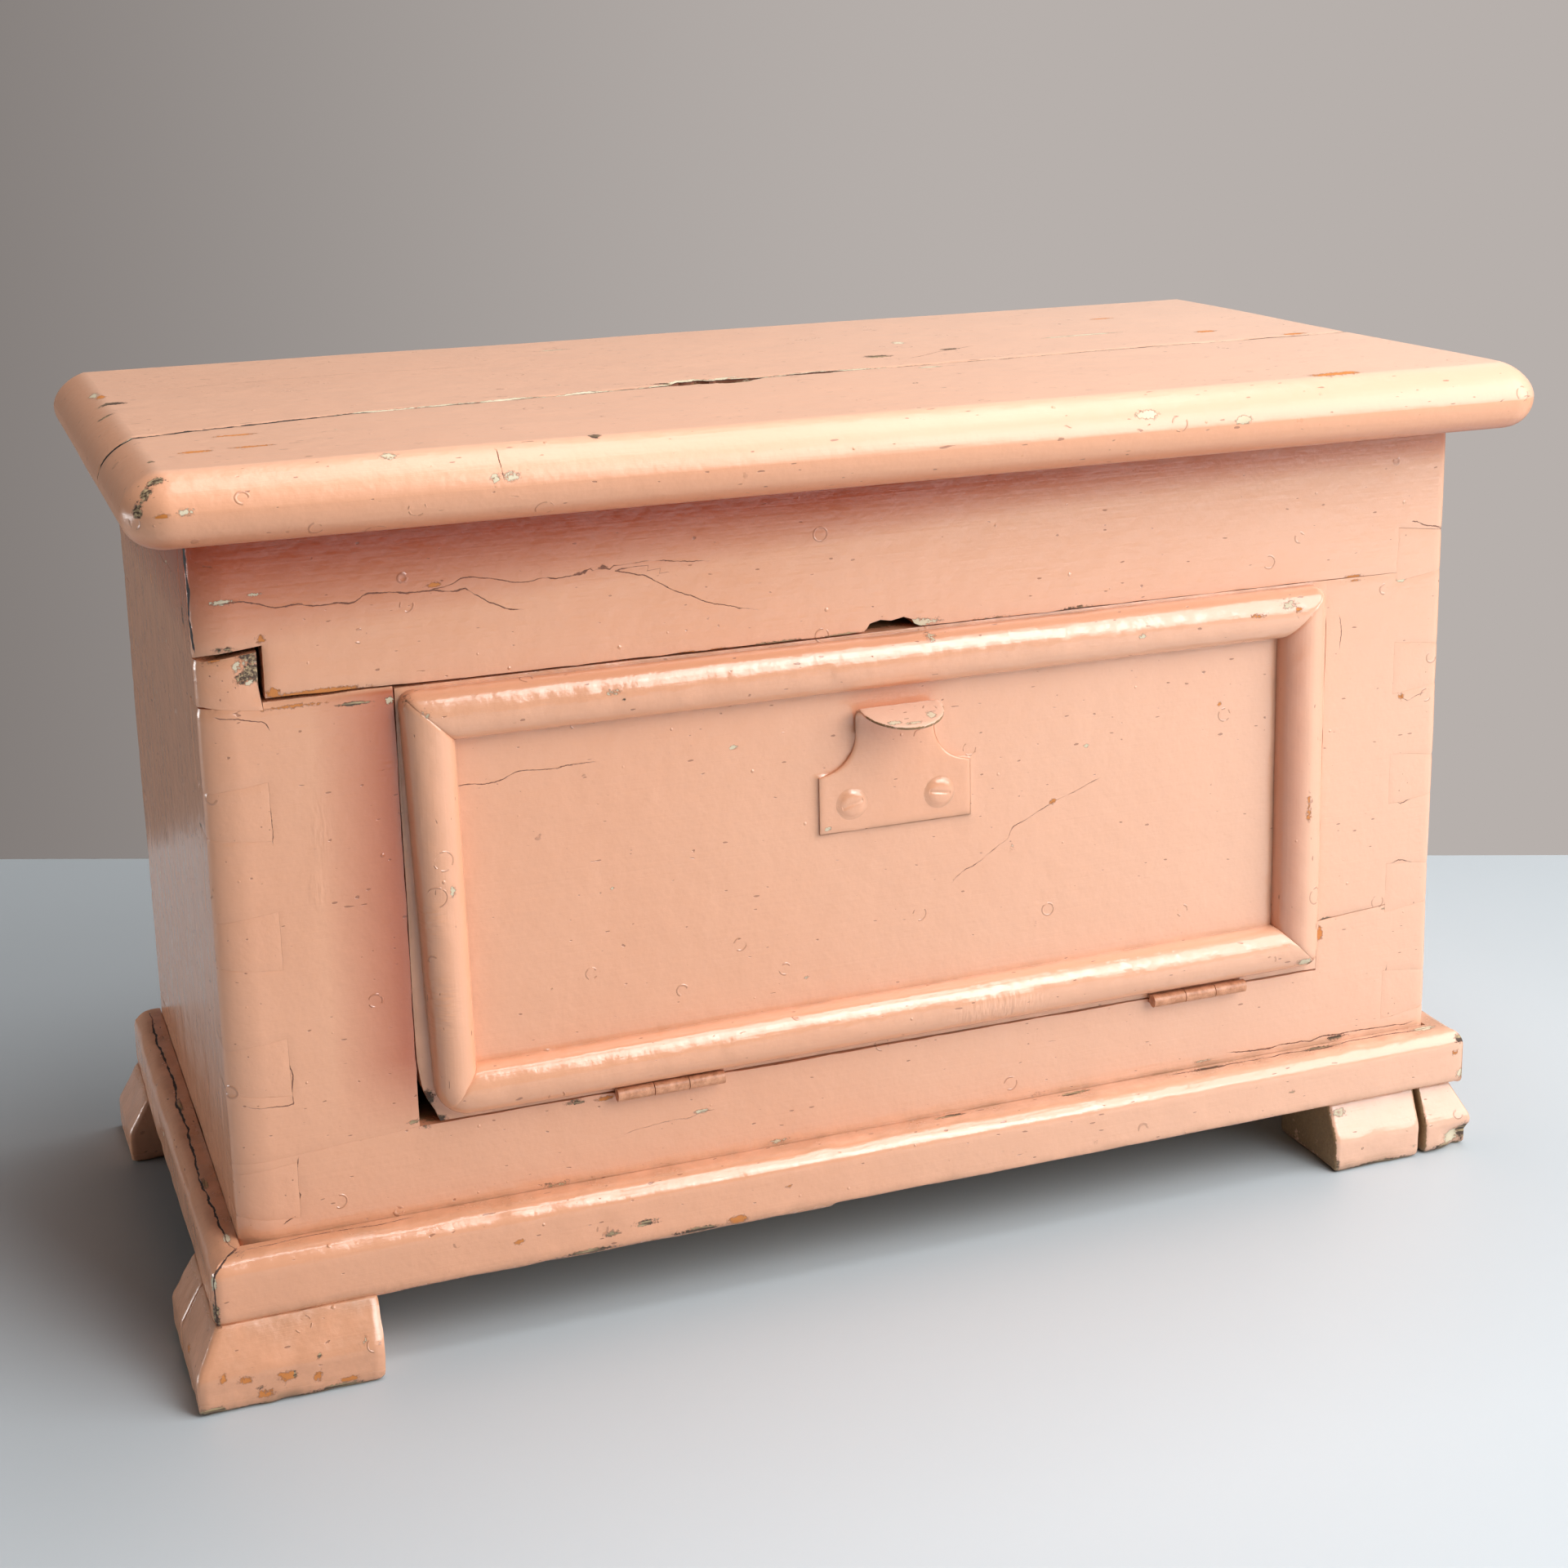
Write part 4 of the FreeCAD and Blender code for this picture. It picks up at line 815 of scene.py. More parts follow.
lidForm = {
    "half": 245, "front": -125.75, "back": 119.25, "bottom": 281.3, "top": 304.8,
    "topRound": 12.0, "bottomRound": 10.8, "plan": 14.5,
    "joint": [(-245, -50.5), (-234, -49.3), (-228, -47.3), (-209, -42.1), (-163.5, -32), (-84, -25.7),
        (-45, -21), (9, -17), (120, -15.5), (245, -12.5)],
    "jointGap": 0.3,
    "torn": 3.2,                # depth of the places torn out of the joint
}
lidWear = {
    "front": [(0, -130.3, -125, 295.9, 2.9, 3, 1.5), (0, -135.6, -125, 296, 1.5, 3, 1.4),
        (0, -227.1, -125.4, 293.7, 2.6, 3, 1.2), (0, -166.1, -116.3, 303.9, 2.6, 1.6, 2),
        (0, 120.7, -125.6, 293.8, 3.2, 3, 1.3), (0, 85.7, -123.7, 298.1, 3.8, 3, 1.2),
        (2, -103.6, -125, 288.4, 1.6, 3, 0.9), (2, -182, -124, 286.4, 1.3, 3, 0.7),
        (2, -101.3, -114, 304.6, 1.6, 1.8, 2), (2, -234.4, -117.6, 302.6, 2.6, 1.6, 1.8),
        (2, -237.6, -120, 299.4, 1.7, 1.7, 2.6), (2, -240, -121.2, 294.6, 1.6, 1.7, 3.6),
        (2, -240.2, -121.8, 289.6, 1.8, 1.8, 3.6), (2, -237.8, -122, 285.6, 2.6, 2, 2.6),
        (0, -237.4, -122.8, 287.6, 1.4, 1.4, 2.4), (1, -234.6, -125.1, 292.8, 2.6, 1.4, 0.8),
        (1, -239.4, -122.6, 289.8, 1.2, 1.4, 2.4), (1, -202.7, -58.8, 305, 7, 1.3, 2),
        (1, -201.2, -82.8, 305, 6, 1.5, 2), (1, -218.6, -84.7, 305, 5, 1.8, 2),
        (2, -233, -96.2, 304.6, 1.3, 1.3, 2), (0, 51.2, -24.6, 304.6, 4.4, 1.6, 2),
        (1, 165, -111, 304, 8.5, 3, 3), (1, 172, -109, 304, 2.4, 1.6, 3), (2, 30, -60, 305, 1, 0.8, 2),
        (2, 9.9, -125.6, 290.7, 0.8, 3, 1.4)],
    "rear": [(2, -232.1, 30.5, 304.8, 5, 2.6, 2), (2, -236.6, 6.9, 303.4, 3.4, 1.6, 2),
        (0, -235, 59.1, 304.1, 1.8, 5, 2), (1, -233, 50, 304.6, 1.8, 4, 2), (0, -60, 92, 305, 8, 1, 2),
        (2, 45.6, 11.6, 304.6, 5, 2.6, 2), (2, 77.4, 17, 304.8, 3, 1.8, 2),
        (0, 142.3, 27.5, 304.8, 13, 1.3, 2), (0, 128, 27, 305, 7, 1.2, 2),
        (1, 186.4, 13.9, 304.8, 4.5, 2, 2), (1, 212.8, -9.4, 304.6, 5, 1.8, 2),
        (0, 67.8, 43.7, 305, 2.2, 3, 2), (2, -48, -16.8, 304.4, 6, 1.2, 2), (0, -24, -14, 304.6, 5, 1, 2),
        (1, 170, 70, 305, 6, 1.2, 2)],
    "rearCracks": [(0.12, [(53, 1), (71, 12), (91, 22)]), (0.1, [(-210, 60), (-150, 62), (-96, 60)])],
    "frontCracks": [(0.12, [(-133.1, -117), (-133.2, -121.5), (-133.4, -125.6)])],
}
# places torn out of the joint: x, and how far they reach in front of it and behind it
tears = [(-54, 0, 0), (-50, 0.4, 1.2), (-44, 0.8, 4.2), (-36, 1.5, 5.6), (-31, 2.6, 3.4), (-24, 4.6, 2.4),
    (-19, 3.4, 0.8), (-11, 0, 0), (-1, 0, 0), (3, 0.6, 1.0), (9, 1.3, 2.3), (15, 0.7, 1.0), (22, 0, 0)]


lidHalf = lidForm["half"]


def jointAt(x, side):
    # the joint, with the torn places on one side of it: -1 in front, 1 behind
    x0, y0 = np.array(lidForm["joint"]).T
    spots = np.array(tears)
    deep = np.column_stack([x, np.zeros(len(x)), np.zeros(len(x))])
    torn = np.interp(x, spots[:, 0], spots[:, 1 if side < 0 else 2], left=0, right=0)
    ragged = 1 + 0.5 * lumps(deep, 2.3, 131) * (torn > 0)
    return np.interp(x, x0, y0) + 0.35 * lumps(deep, 11, 132) + 0.2 * lumps(deep, 3,
        133) + side * (lidForm["jointGap"] * (1 + 0.5 * lumps(deep, 8, 134)) + torn * ragged)


def lowerStep(away, round_):
    # how far a quarter round has fallen at a distance from its edge: r - sqrt(r^2 - (r - away)^2)
    short = np.clip(round_ - away, 0, round_)
    return round_ - np.sqrt(round_ ** 2 - short ** 2)


def upperStep(away, round_):
    # the worn nosing on top keeps an arris: it falls by r (0.72 (1 - sqrt(1 - c^2)) + 0.28 c) where
    # c = 1 - away / r
    c = np.clip(1 - away / round_, 0, 1)
    return round_ * (0.72 * (1 - np.sqrt(1 - c ** 2)) + 0.28 * c)


def lidBoard(name, side, ys, spots, cracks):
    # side -1 is the board in front of the joint, 1 the one behind it
    fine = 12 * (1 - np.sin(np.linspace(0, math.pi / 2, 11)))
    ends = lidHalf - fine[::-1]
    bedLines = np.array([127.85, 127.95, 173.05, 173.15])
    middle = stepsTo(-233, 233, 1.5)[1:-1]
    middle = middle[np.min(np.abs(np.abs(middle)[:, None] - bedLines), axis=1) > 0.5]
    xs = np.sort(np.concatenate([-ends, middle, bedLines, -bedLines, ends]))
    alongJoint = stepsTo(-lidHalf, lidHalf, 1.5)
    joint = np.stack([alongJoint, jointAt(alongJoint, side)], 1)
    if side < 0:
        outline = np.vstack([[(-lidHalf, lidForm["front"]), (lidHalf, lidForm["front"])], joint[::-1]])
    else:
        outline = np.vstack([joint, [(lidHalf, lidForm["back"]), (-lidHalf, lidForm["back"])]])

    def place(x, y, k, away, run):
        # k runs from 0 on top to 1 underneath
        inside = np.minimum(lidHalf - np.abs(x), y - lidForm["front"])
        middle = np.interp(x, *np.array(lidForm["joint"]).T)
        flat = np.column_stack([x, y, np.full(len(x), 300.0)])
        bumps = 0.3 * lumps(flat, 70, 101) + 0.1 * lumps(flat * (0.4, 1, 1), 17, 102) - 0.42
        toJoint = np.abs(y - jointAt(x, side))
        wear = 0.55 * np.exp(-toJoint / 0.9) * (0.8 + 0.4 * lumps(flat, 9, 103))
        upper = lidForm["top"] - upperStep(inside, lidForm["topRound"]) + np.where(inside > 0.01, bumps, 0)
        upper = np.minimum(upper - wear * (inside > 0.01), lidForm["top"])
        lower = lidForm["bottom"] + lowerStep(inside, lidForm["bottomRound"])
        hinge = (np.abs(x) > 127.9) & (np.abs(x) < 173.1) & (y > 103.1)
        lower = np.where(hinge, lidForm["bottom"] + 1.75, lower)
        z = upper * (1 - k) + lower * k
        deep = (k > lidForm["torn"] / 23) & (away < 0.02) & (np.abs(y - middle) < 8) & (inside > 0.5)
        y = np.where(deep, middle + 0.12 * side, y)
        # the square corner of the plan becomes a quarter circle
        r = lidForm["plan"]
        a, b = np.abs(x) - (lidHalf - r), (lidForm["front"] + r) - y
        turned, a, b = rounded(a, b)
        x = np.where(turned, np.sign(x) * (lidHalf - r + a), x)
        y = np.where(turned, lidForm["front"] + r - b, y)
        # hand-planed nosing: slightly hollow and full along its length
        wave = 0.5 * (1 + lumps(np.column_stack([x, y, z]), 45, 104)) * 0.5 * np.clip(1 - inside / 12, 0, 1)
        y = np.where((y < lidForm["front"] + 16), y + wave, y)
        x = np.where(np.abs(x) > 229, x - np.sign(x) * wave, x)
        return np.column_stack([x, y, z])

    def marksAt(x, y, k, away, run, points):
        inside = np.minimum(lidHalf - np.abs(x), y - lidForm["front"])
        toJoint = np.abs(y - jointAt(x, side))
        # darker along the joint: dirt with painted crease shade
        dirtAndShade = 0.75 * np.exp(-toJoint / 0.8)
        # painted reflection and sheen: the lid's top is drawn paler than the front, most at the right, as the
        # grey room shines in its gloss
        top = np.interp(x, (-lidHalf, 0, lidHalf), (0.4, 0.52, 1.0))
        paintedSheen = np.where(k < 0.5, paintedSheenAt(points) + (top - paintedSheenAt(points)) * np.clip((inside - 8) / 4, 0, 1), 0)
        along = np.column_stack([x, np.full(len(x), 300.0 * side), np.zeros(len(x))])
        flaking = 1.75 - toJoint / 1.9 + 0.9 * lumps(along, 13, 135) - 1.2 * np.clip((x - 25) / 40, 0, 1)
        flaking -= 1.1 * np.clip((-150 - x) / 30, 0, 1)
        chips = chipMarks(points, spots)
        chips[:, 0] = np.maximum(chips[:, 0], np.clip(flaking, 0, 1.9) * (k < 0.2) * (toJoint < 6))
        # painted shade: the lid's underside, up to the nosing's lower round, is drawn half in the deep shade
        # colour
        shade = np.zeros((len(x), 3))
        shade[:, 2] = np.where(k > 0.5, 0.5 * np.clip((points[:, 2] * -1 + 287) / 5, 0, 1), 0)
        lines = crackMarks(np.stack([x, y], 1), cracks)
        near = toJoint < 3.5
        lines[near, 0] = toJoint[near]
        lines[near, 1] = np.interp(x, (-lidHalf, -165, -145, 60, lidHalf), (0.9, 0.8, 0.3, 0.35, 0.3))[near]
        cover = np.where((k > 0.9) & (inside > 26) | (k > 0.03) & (away < 0.02) & (inside > 0.5) & (y < 118),
            0.0, 1.0)
        outer = (k < 0.6)[:, None]
        return paintMarks(points, cover, dirtAndShade, paintedSheen, chips=chips * outer,
            crackOne=lines * (k < 0.01)[:, None], crackTwo=shade)

    return plate(name, outline, xs, ys, [0, 0.06, 0.13, 0.15, 0.5, 0.9, 1], place, marksAt, material=paintLid,
        body="lid")


fineEdge = lidForm["front"] + (12 * (1 - np.sin(np.linspace(0, math.pi / 2, 11))))[::-1]
lidBoard("lid_front_board", -1, np.concatenate([fineEdge, stepsTo(-113.75, -11.3, 1.5)[1:]]),
    lidWear["front"], lidWear["frontCracks"])
lidBoard("lid_rear_board", 1, np.concatenate([stepsTo(-51, 103.05, 1.5), [103.15],
    stepsTo(103.15, 119.25, 1.6)[1:]]), lidWear["rear"], lidWear["rearCracks"])
print("lid ready")


# The flap: a board with a half-round moulding mitred round its edge, and the pull

flapForm = {
    # the moulding's outer and inner corners as nailed on, a little out of square
    "outer": [(-158.9, 80.4), (173.6, 81.4), (172.7, 226.4), (-163.7, 225.4)],
    "inner": [(-145.1, 96.8), (155.5, 98.8), (155.1, 208.3), (-146.2, 208.0)],
    "round": 8.0, "step": 1.0, "corners": (11.0, 6.0, 5.0, 5.0),
}
flapWear = {
    "chips": onFront([(0, -52.4, 193, 1.3, 0.7), (0, 78.7, 177, 1, 0.6), (0, 50, 143.5, 1.1, 0.6),
        (2, 59, 114, 0.9, 0.6), (1, 66, 158.4, 1.4, 1), (0, 112, 128, 1, 0.6), (1, -118, 118, 0.9, 0.7),
        (0, -96, 150, 0.8, 0.7), (2, -161.5, 86.5, 2.2, 3.4), (2, -158.5, 79, 3, 1.2),
        (1, 132, 186, 0.9, 0.7), (0, -28, 108, 1.2, 0.6), (2, 173.6, 150, 0.9, 3)]),
    "cracks": [(0.1, [(-150, 191.6), (-146, 191.5), (-132.5, 192.2), (-124.4, 193.9), (-108, 193.7),
        (-100, 194.2)])],
    "moreCracks": [(0.08, [(26, 134.2), (28, 135.5), (40.6, 142.7), (48.5, 147), (50, 151.3), (78.8, 163.1),
        (84, 164.4)])],
    "moulding": [(0, -95.3, -99, 219, 3.2, 5, 1.2), (2, -92, -102, 216.5, 1, 3, 0.8),
        (0, 155, -100, 221.8, 3, 5, 1.5), (1, 142.5, -100, 219.4, 3.4, 5, 1),
        (1, 158.4, -101, 219.8, 2, 4, 1), (0, 16.5, -97, 224, 2.6, 4, 1.4),
        (2, -160, -97, 222.6, 2.2, 3, 1.6), (0, -156, -100, 218.8, 1.8, 3, 1.8),
        (1, 165, -100, 145, 1.2, 5, 6.6), (0, 166.6, -98, 139, 1, 4, 1.8), (2, 161, -97, 85.6, 5, 4, 1),
        (0, 165.6, -101, 85.2, 3.2, 4, 1.4), (2, 169.4, -99, 84, 2.4, 4, 0.8),
        (0, 168, -97, 87.6, 2, 4, 1.4), (0, -40, -96, 82.4, 4, 3, 1), (1, 70, -96, 82, 4.5, 3, 0.8),
        (0, -151, -103, 160, 0.9, 2, 2), (0, 96, -103, 217, 1.4, 2, 0.7), (0, -146.5, -96, 120, 0.8, 2, 2.6),
        (2, 156.4, -96, 205, 1, 2, 1.4)],
    "wrinkles": [(-156.5, -101, 121, 8, 8, 17), (-158, -101, 150, 7, 8, 9), (42, -101, 87, 27, 8, 7)],
    "pull": [(0, -1, -111.5, 201, 2.6, 1.2, 2.6), (0, 5, -113, 201, 3.6, 0.9, 2.6),
        (0, 13, -109.5, 201, 1.6, 2, 2.6), (0, -19.5, -96, 160.4, 1.2, 2, 0.7)],
}
flapEdge = [(-157.6, 78.1), *bedsIn(hingeBeds, 78.1, 79.4)[::-1], (175.42, 78.1), (175.42, 227.0),
    (118, 227.0), (60, 226.8), (22, 226.8), (-40, 226.4), (-110, 226.5), (-164.1, 226.3), (-164.35, 190),
    (-164.15, 160), (-164.35, 120), (-164.1, 100), (-162.9, 91), (-161.2, 86), (-159.0, 82.2)]
flapOutline, _ = sawn(flapEdge, lambda middle: np.zeros(len(middle)))


# the pull: heights of its shoulder, neck and bend are above its bottom edge
pullForm = {
    "middle": 5.5, "bottom": 158.4, "half": 28, "neck": 14.5, "shoulder": 20.5, "neckStart": 34.0,
    "bend": 38.5, "bendRadius": 4.7, "bendAngle": 104, "sheet": 1.4,
    "screwSpread": 16.2, "screwHeight": 168.2, "head": 4.2, "dome": 0.9,
}


def pullAway(x, z):
    # distance to the outline of the pull's plate, which lies on the flap up to its neck
    p = pullForm
    wide = np.where(z < p["bottom"] + p["shoulder"], p["half"], p["neck"])
    dx = np.maximum(np.abs(x - p["middle"]) - wide, 0)
    dz = np.maximum(np.maximum(p["bottom"] - z, z - 193), 0)
    inside = (dx == 0) & (dz == 0)
    return np.where(inside, 0, np.hypot(dx, dz))


def flapPlace(x, z, depth, away, run):
    # a level board with slow noise: its paint swells by 0.75 exp(-d / 0.9) round the pull, and sinks at the
    # board's edge
    flat = np.column_stack([x, np.full(len(x), front), z])
    push = 0.2 * lumps(flat, 46, 201) + 0.1 * lumps(flat, 12, 202) + 0.04 * lumps(flat, 4.5, 203) - 0.1
    push += 0.75 * np.exp(-pullAway(x, z) / 0.9) * (1 + 0.5 * lumps(flat, 7, 204))
    push -= np.where(x < 170, 0.4, 0.12) * np.exp(-away / 1.0)
    hinge = ((np.abs(x + 79) < 19.2) | (np.abs(x
        - 124) < 19.2)) & (z < 79.6) & (depth > 11.15) & (away < 0.02)
    z = np.where(hinge, 78.1, z)
    return np.column_stack([x, front + depth - np.where(depth < 0.01, push, 0), z])


def flapMarks(x, z, depth, away, run, points):
    flat = np.stack([x, z], 1)
    inner = np.array(flapForm["inner"])
    bead = np.abs(nearestOn(flat, np.vstack([inner, inner[:1]]))[1])
    # darker along the moulding's bead, round the pull and at the board's edge: dirt with painted crease shade
    dirtAndShade = 0.35 * np.exp(-bead / 1.1) + 0.4 * np.exp(-pullAway(x, z) / 1.1) + 0.5 * np.exp(-away
        / 1.2) * (x < 170)
    outer = (depth < 0.01)[:, None]
    return paintMarks(points, np.clip(2.2 - depth / 4, 0, 1), dirtAndShade, paintedSheenAt(points),
        chips=chipMarks(points, flapWear["chips"]) * outer,
        crackOne=crackMarks(flat, flapWear["cracks"]) * outer,
        crackTwo=crackMarks(flat, flapWear["moreCracks"]) * outer)


flapXs = np.concatenate([stepsTo(-164.35, -26, 1.4)[:-1], stepsTo(-26, 37, 0.8)[:-1],
    stepsTo(37, 175.42, 1.4)])
flapZs = np.concatenate([stepsTo(78.1, 154, 1.4)[:-1], stepsTo(154, 197, 0.8)[:-1], stepsTo(197, 227, 1.4)])
plate("flap_board", flapOutline, flapXs, flapZs, [0, 0.8, 2.0, 11.1, 11.2, 13.4, 14], flapPlace, flapMarks,
    material=paintX, body="flap")


def carried(name, rows, marksAt, **how):
    # a closed profile at each of many places along a path: quads between neighbours, and a fan at each end
    n, count, _ = rows.shape
    index = np.arange(n * count).reshape(n, count)
    nextOne = np.roll(index, -1, axis=1)
    quads = np.stack([index[:-1], nextOne[:-1], nextOne[1:], index[1:]], -1).reshape(-1, 4)
    points = rows.reshape(-1, 3)
    middles = np.stack([rows[0].mean(0), rows[-1].mean(0)])
    fans = [np.column_stack([np.full(count, n * count), nextOne[0], index[0]]),
        np.column_stack([np.full(count, n * count + 1), index[-1], nextOne[-1]])]
    points = np.vstack([points, middles])
    return makePiece(name, points, [quads, *fans], marksAt(points), **how)


def halfRound(samples):
    # across the moulding: a small step, then r sin^0.8 t over 8 - r cos t, and the flat back
    t = np.linspace(0, math.pi, samples)
    w = 8 - flapForm["round"] * np.cos(t)
    h = flapForm["step"] + flapForm["round"] * np.sin(t) ** 0.8
    back = np.linspace(16, 0, 6)
    return np.concatenate([[0, 0], w, [16, 16], back[1:-1]]), np.concatenate([[0, 0.6], h, [0.6, 0],
        back[1:-1] * 0])


def moulding(name, first, seed, along):
    # the half round carried along one side of the frame, each end cut on the line from outer to inner corner
    outer, inner = np.array(flapForm["outer"], float), np.array(flapForm["inner"], float)
    a0, a1, b0, b1 = outer[first], outer[(first + 1) % 4], inner[first], inner[(first + 1) % 4]
    w, h = halfRound(26)
    length = np.hypot(*(a1 - a0))
    t = stepsTo(0, 1, 1.3 / length)
    t = np.sort(np.concatenate([t[1:-1], [0, 0.35 / length, 1 - 0.35 / length, 1]]))[:, None, None]
    share = (w / 16)[None, :, None]
    start, stop = a0 + (b0 - a0) * share, a1 + (b1 - a1) * share
    spot = start + (stop - start) * t
    # each corner of the frame is rounded by drawing its square onto a quarter circle
    x, z = spot[..., 0], spot[..., 1]
    for (cx, cz), r, sx, sz in zip(outer, flapForm["corners"], (-1, 1, 1, -1), (-1, -1, 1, 1)):
        a, b = (x - (cx - sx * r)) * sx, (z - (cz - sz * r)) * sz
        turned, a, b = rounded(a, b)
        x = np.where(turned, cx - sx * r + sx * a, x)
        z = np.where(turned, cz - sz * r + sz * b, z)
    fromEnd = np.minimum(t, 1 - t)[..., 0] * length
    flat = np.stack([x, np.full(x.shape, -97.0), z], -1).reshape(-1, 3)
    uneven = (0.3 * lumps(flat, 30, seed) + 0.16 * lumps(flat, 8, seed + 1) + 0.1 * lumps(flat, 3, seed + 2))
    high = np.where(h > 0.5, h + uneven.reshape(x.shape) * (h / 9) - 0.35 - 0.3 * np.exp(-fromEnd / 0.6), h)
    high = np.clip(high, 0, 8.95)
    rows = np.stack([x, front - high - 0.02, z], -1)
    rows[..., 1] = np.where(h < 0.1, -94.6, rows[..., 1])

    def marksAt(points):
        foot = np.clip(1 - (front - points[:, 1]) / 1.8, 0, 1)
        corner = np.min([np.hypot(points[:, 0] - c[0], points[:, 2] - c[1]) for c in (a0, a1)], axis=0)
        wrinkled, leftFacingShade = np.zeros((2, len(points), 3))
        # painted shade: the right moulding's left-facing half, turned from the key light, is drawn in the deep
        # shade colour
        leftFacingShade[:, 2] = 0.35 * np.clip((166 - points[:, 0]) / 6, 0, 1) * (name == "flap_moulding_right")
        wrinkled[:, 2] = patchAt(points, flapWear["wrinkles"])
        # darker at the moulding's foot and its mitred corners: dirt with painted crease shade
        return paintMarks(points, 1, 0.5 * foot + 0.15 * np.exp(-corner / 5), 0.8 * paintedSheenAt(points),
            chips=chipMarks(points, flapWear["moulding"]), crackOne=wrinkled, crackTwo=leftFacingShade)

    return carried(name, rows, marksAt, material=along, body="flap", sharp=50)


moulding("flap_moulding_bottom", 0, 301, paintX)
moulding("flap_moulding_right", 1, 311, paintZ)
moulding("flap_moulding_top", 2, 321, paintX)
moulding("flap_moulding_left", 3, 331, paintZ)

bendLength = pullForm["bendRadius"] * math.radians(pullForm["bendAngle"])
pullLength = pullForm["bend"] + bendLength + pullForm["neck"]
pullVs = np.concatenate([stepsTo(0, pullForm["bend"], 0.8),
    pullForm["bend"] + stepsTo(0, bendLength, 0.6)[1:],
    pullForm["bend"] + bendLength + pullForm["neck"] * np.sin(np.linspace(0, math.pi / 2, 22))[1:]])
pullUs = np.sin(np.linspace(-1, 1, 61) * math.pi / 2)


def pullHalf(v):
    # half its width: full, then a quarter circle cut into each shoulder, the neck, and the round lip
    p = pullForm
    cut = p["half"] - p["neck"]
    below = p["neckStart"] - np.clip(v, p["shoulder"], p["neckStart"])
    shoulder = p["half"] - np.sqrt(np.maximum(cut ** 2 - below ** 2, 0))
    lip = np.sqrt(np.maximum(p["neck"] ** 2 - np.maximum(v - p["bend"] - bendLength, 0) ** 2, 0))
    return np.where(v <= p["shoulder"], p["half"], np.where(v <= p["neckStart"], shoulder, lip))


def pullPlace(u, v, k, away, run):
    # k runs from 0 in front to 1 at the back; the sheet follows the flap, then an arc, then leans out
    p = pullForm
    turn = np.clip((v - p["bend"]) / p["bendRadius"], 0, math.radians(p["bendAngle"]))
    out = np.maximum(v - p["bend"] - bendLength, 0)
    half = pullHalf(v)
    x = p["middle"] + u * half
    edge = np.minimum(np.minimum(half * (1 - np.abs(u)), v), np.maximum(pullLength - v, 0))
    mid = p["sheet"] / 2
    y = front - mid - p["bendRadius"] * (1 - np.cos(turn)) - out * np.sin(turn)
    z = p["bottom"] + np.minimum(v, p["bend"]) + p["bendRadius"] * np.sin(turn) + out * np.cos(turn)
    shift = (0.5 - k) * p["sheet"]
    soft = np.where(k < 0.01, 0.45 * np.exp(-edge / 0.7),
        np.where((k > 0.99) & (v > 36), -0.3 * np.exp(-edge / 0.7), 0))
    flat = np.column_stack([x, y, z])
    shift = shift - soft + np.where(k < 0.01, 0.12 * lumps(flat, 9, 401) - 0.05, 0)
    return np.column_stack([x, y - shift * np.cos(turn), z + shift * -np.sin(turn)])


def pullMarks(u, v, k, away, run, points):
    edge = np.minimum(pullHalf(v) * (1 - np.abs(u)), pullLength - v)
    worn = np.where(v > 50, 0.62 * np.exp(-edge / 0.5), 0)
    # painted light: the lip's upper face, lit from above, is drawn in the pale sheen colour
    pale = np.clip((v - 42) / 5, 0, 1) * (k > 0.5)
    return paintMarks(points, 1 - worn, 0.4 * np.exp(-np.abs(v) / 1.2), pale,
        chips=chipMarks(points, flapWear["pull"]))


plate("pull_plate", [(-1, 0), (1, 0), (1, pullLength), (-1, pullLength)], pullUs, pullVs, [0, 0.25, 0.75, 1],
    pullPlace, pullMarks, material=paintX, body="flap", slot="painted_pull")


def screwHead(side):
    # a low button under thick paint: d (1 - (r / R)^4)^0.5, its slot nearly filled, and a fillet round it
    p = pullForm
    ring = np.concatenate([np.linspace(0.05, 1, 22) * p["head"], p["head"] + np.linspace(0.15, 1.6, 6)])
    angle = np.linspace(0, 2 * math.pi, 64, endpoint=False)
    r, a = np.meshgrid(ring, angle)
    cap = p["dome"] * np.sqrt(np.maximum(1 - (r / p["head"]) ** 4, 0))
    fillet = 0.45 * np.exp(-np.abs(r - p["head"]) / 0.9)
    high = np.sqrt(cap ** 2 + fillet ** 2) * np.clip((5.8 - r) / 0.8, 0, 1)
    lean = math.radians(18 if side < 0 else -9)
    across = r * (np.sin(a) * math.cos(lean) - np.cos(a) * math.sin(lean))
    high = high - 0.3 * np.exp(-(across / 0.6) ** 2) * (r < p["head"] * 0.95)
    x = p["middle"] + side * p["screwSpread"] + r * np.cos(a)
    z = p["screwHeight"] + r * np.sin(a)
    y = np.minimum(-96.12 - high, -96.1)
    top = np.stack([x, y, z], -1)
    low = top.copy()
    low[..., 1] = -95.6
    return top, low


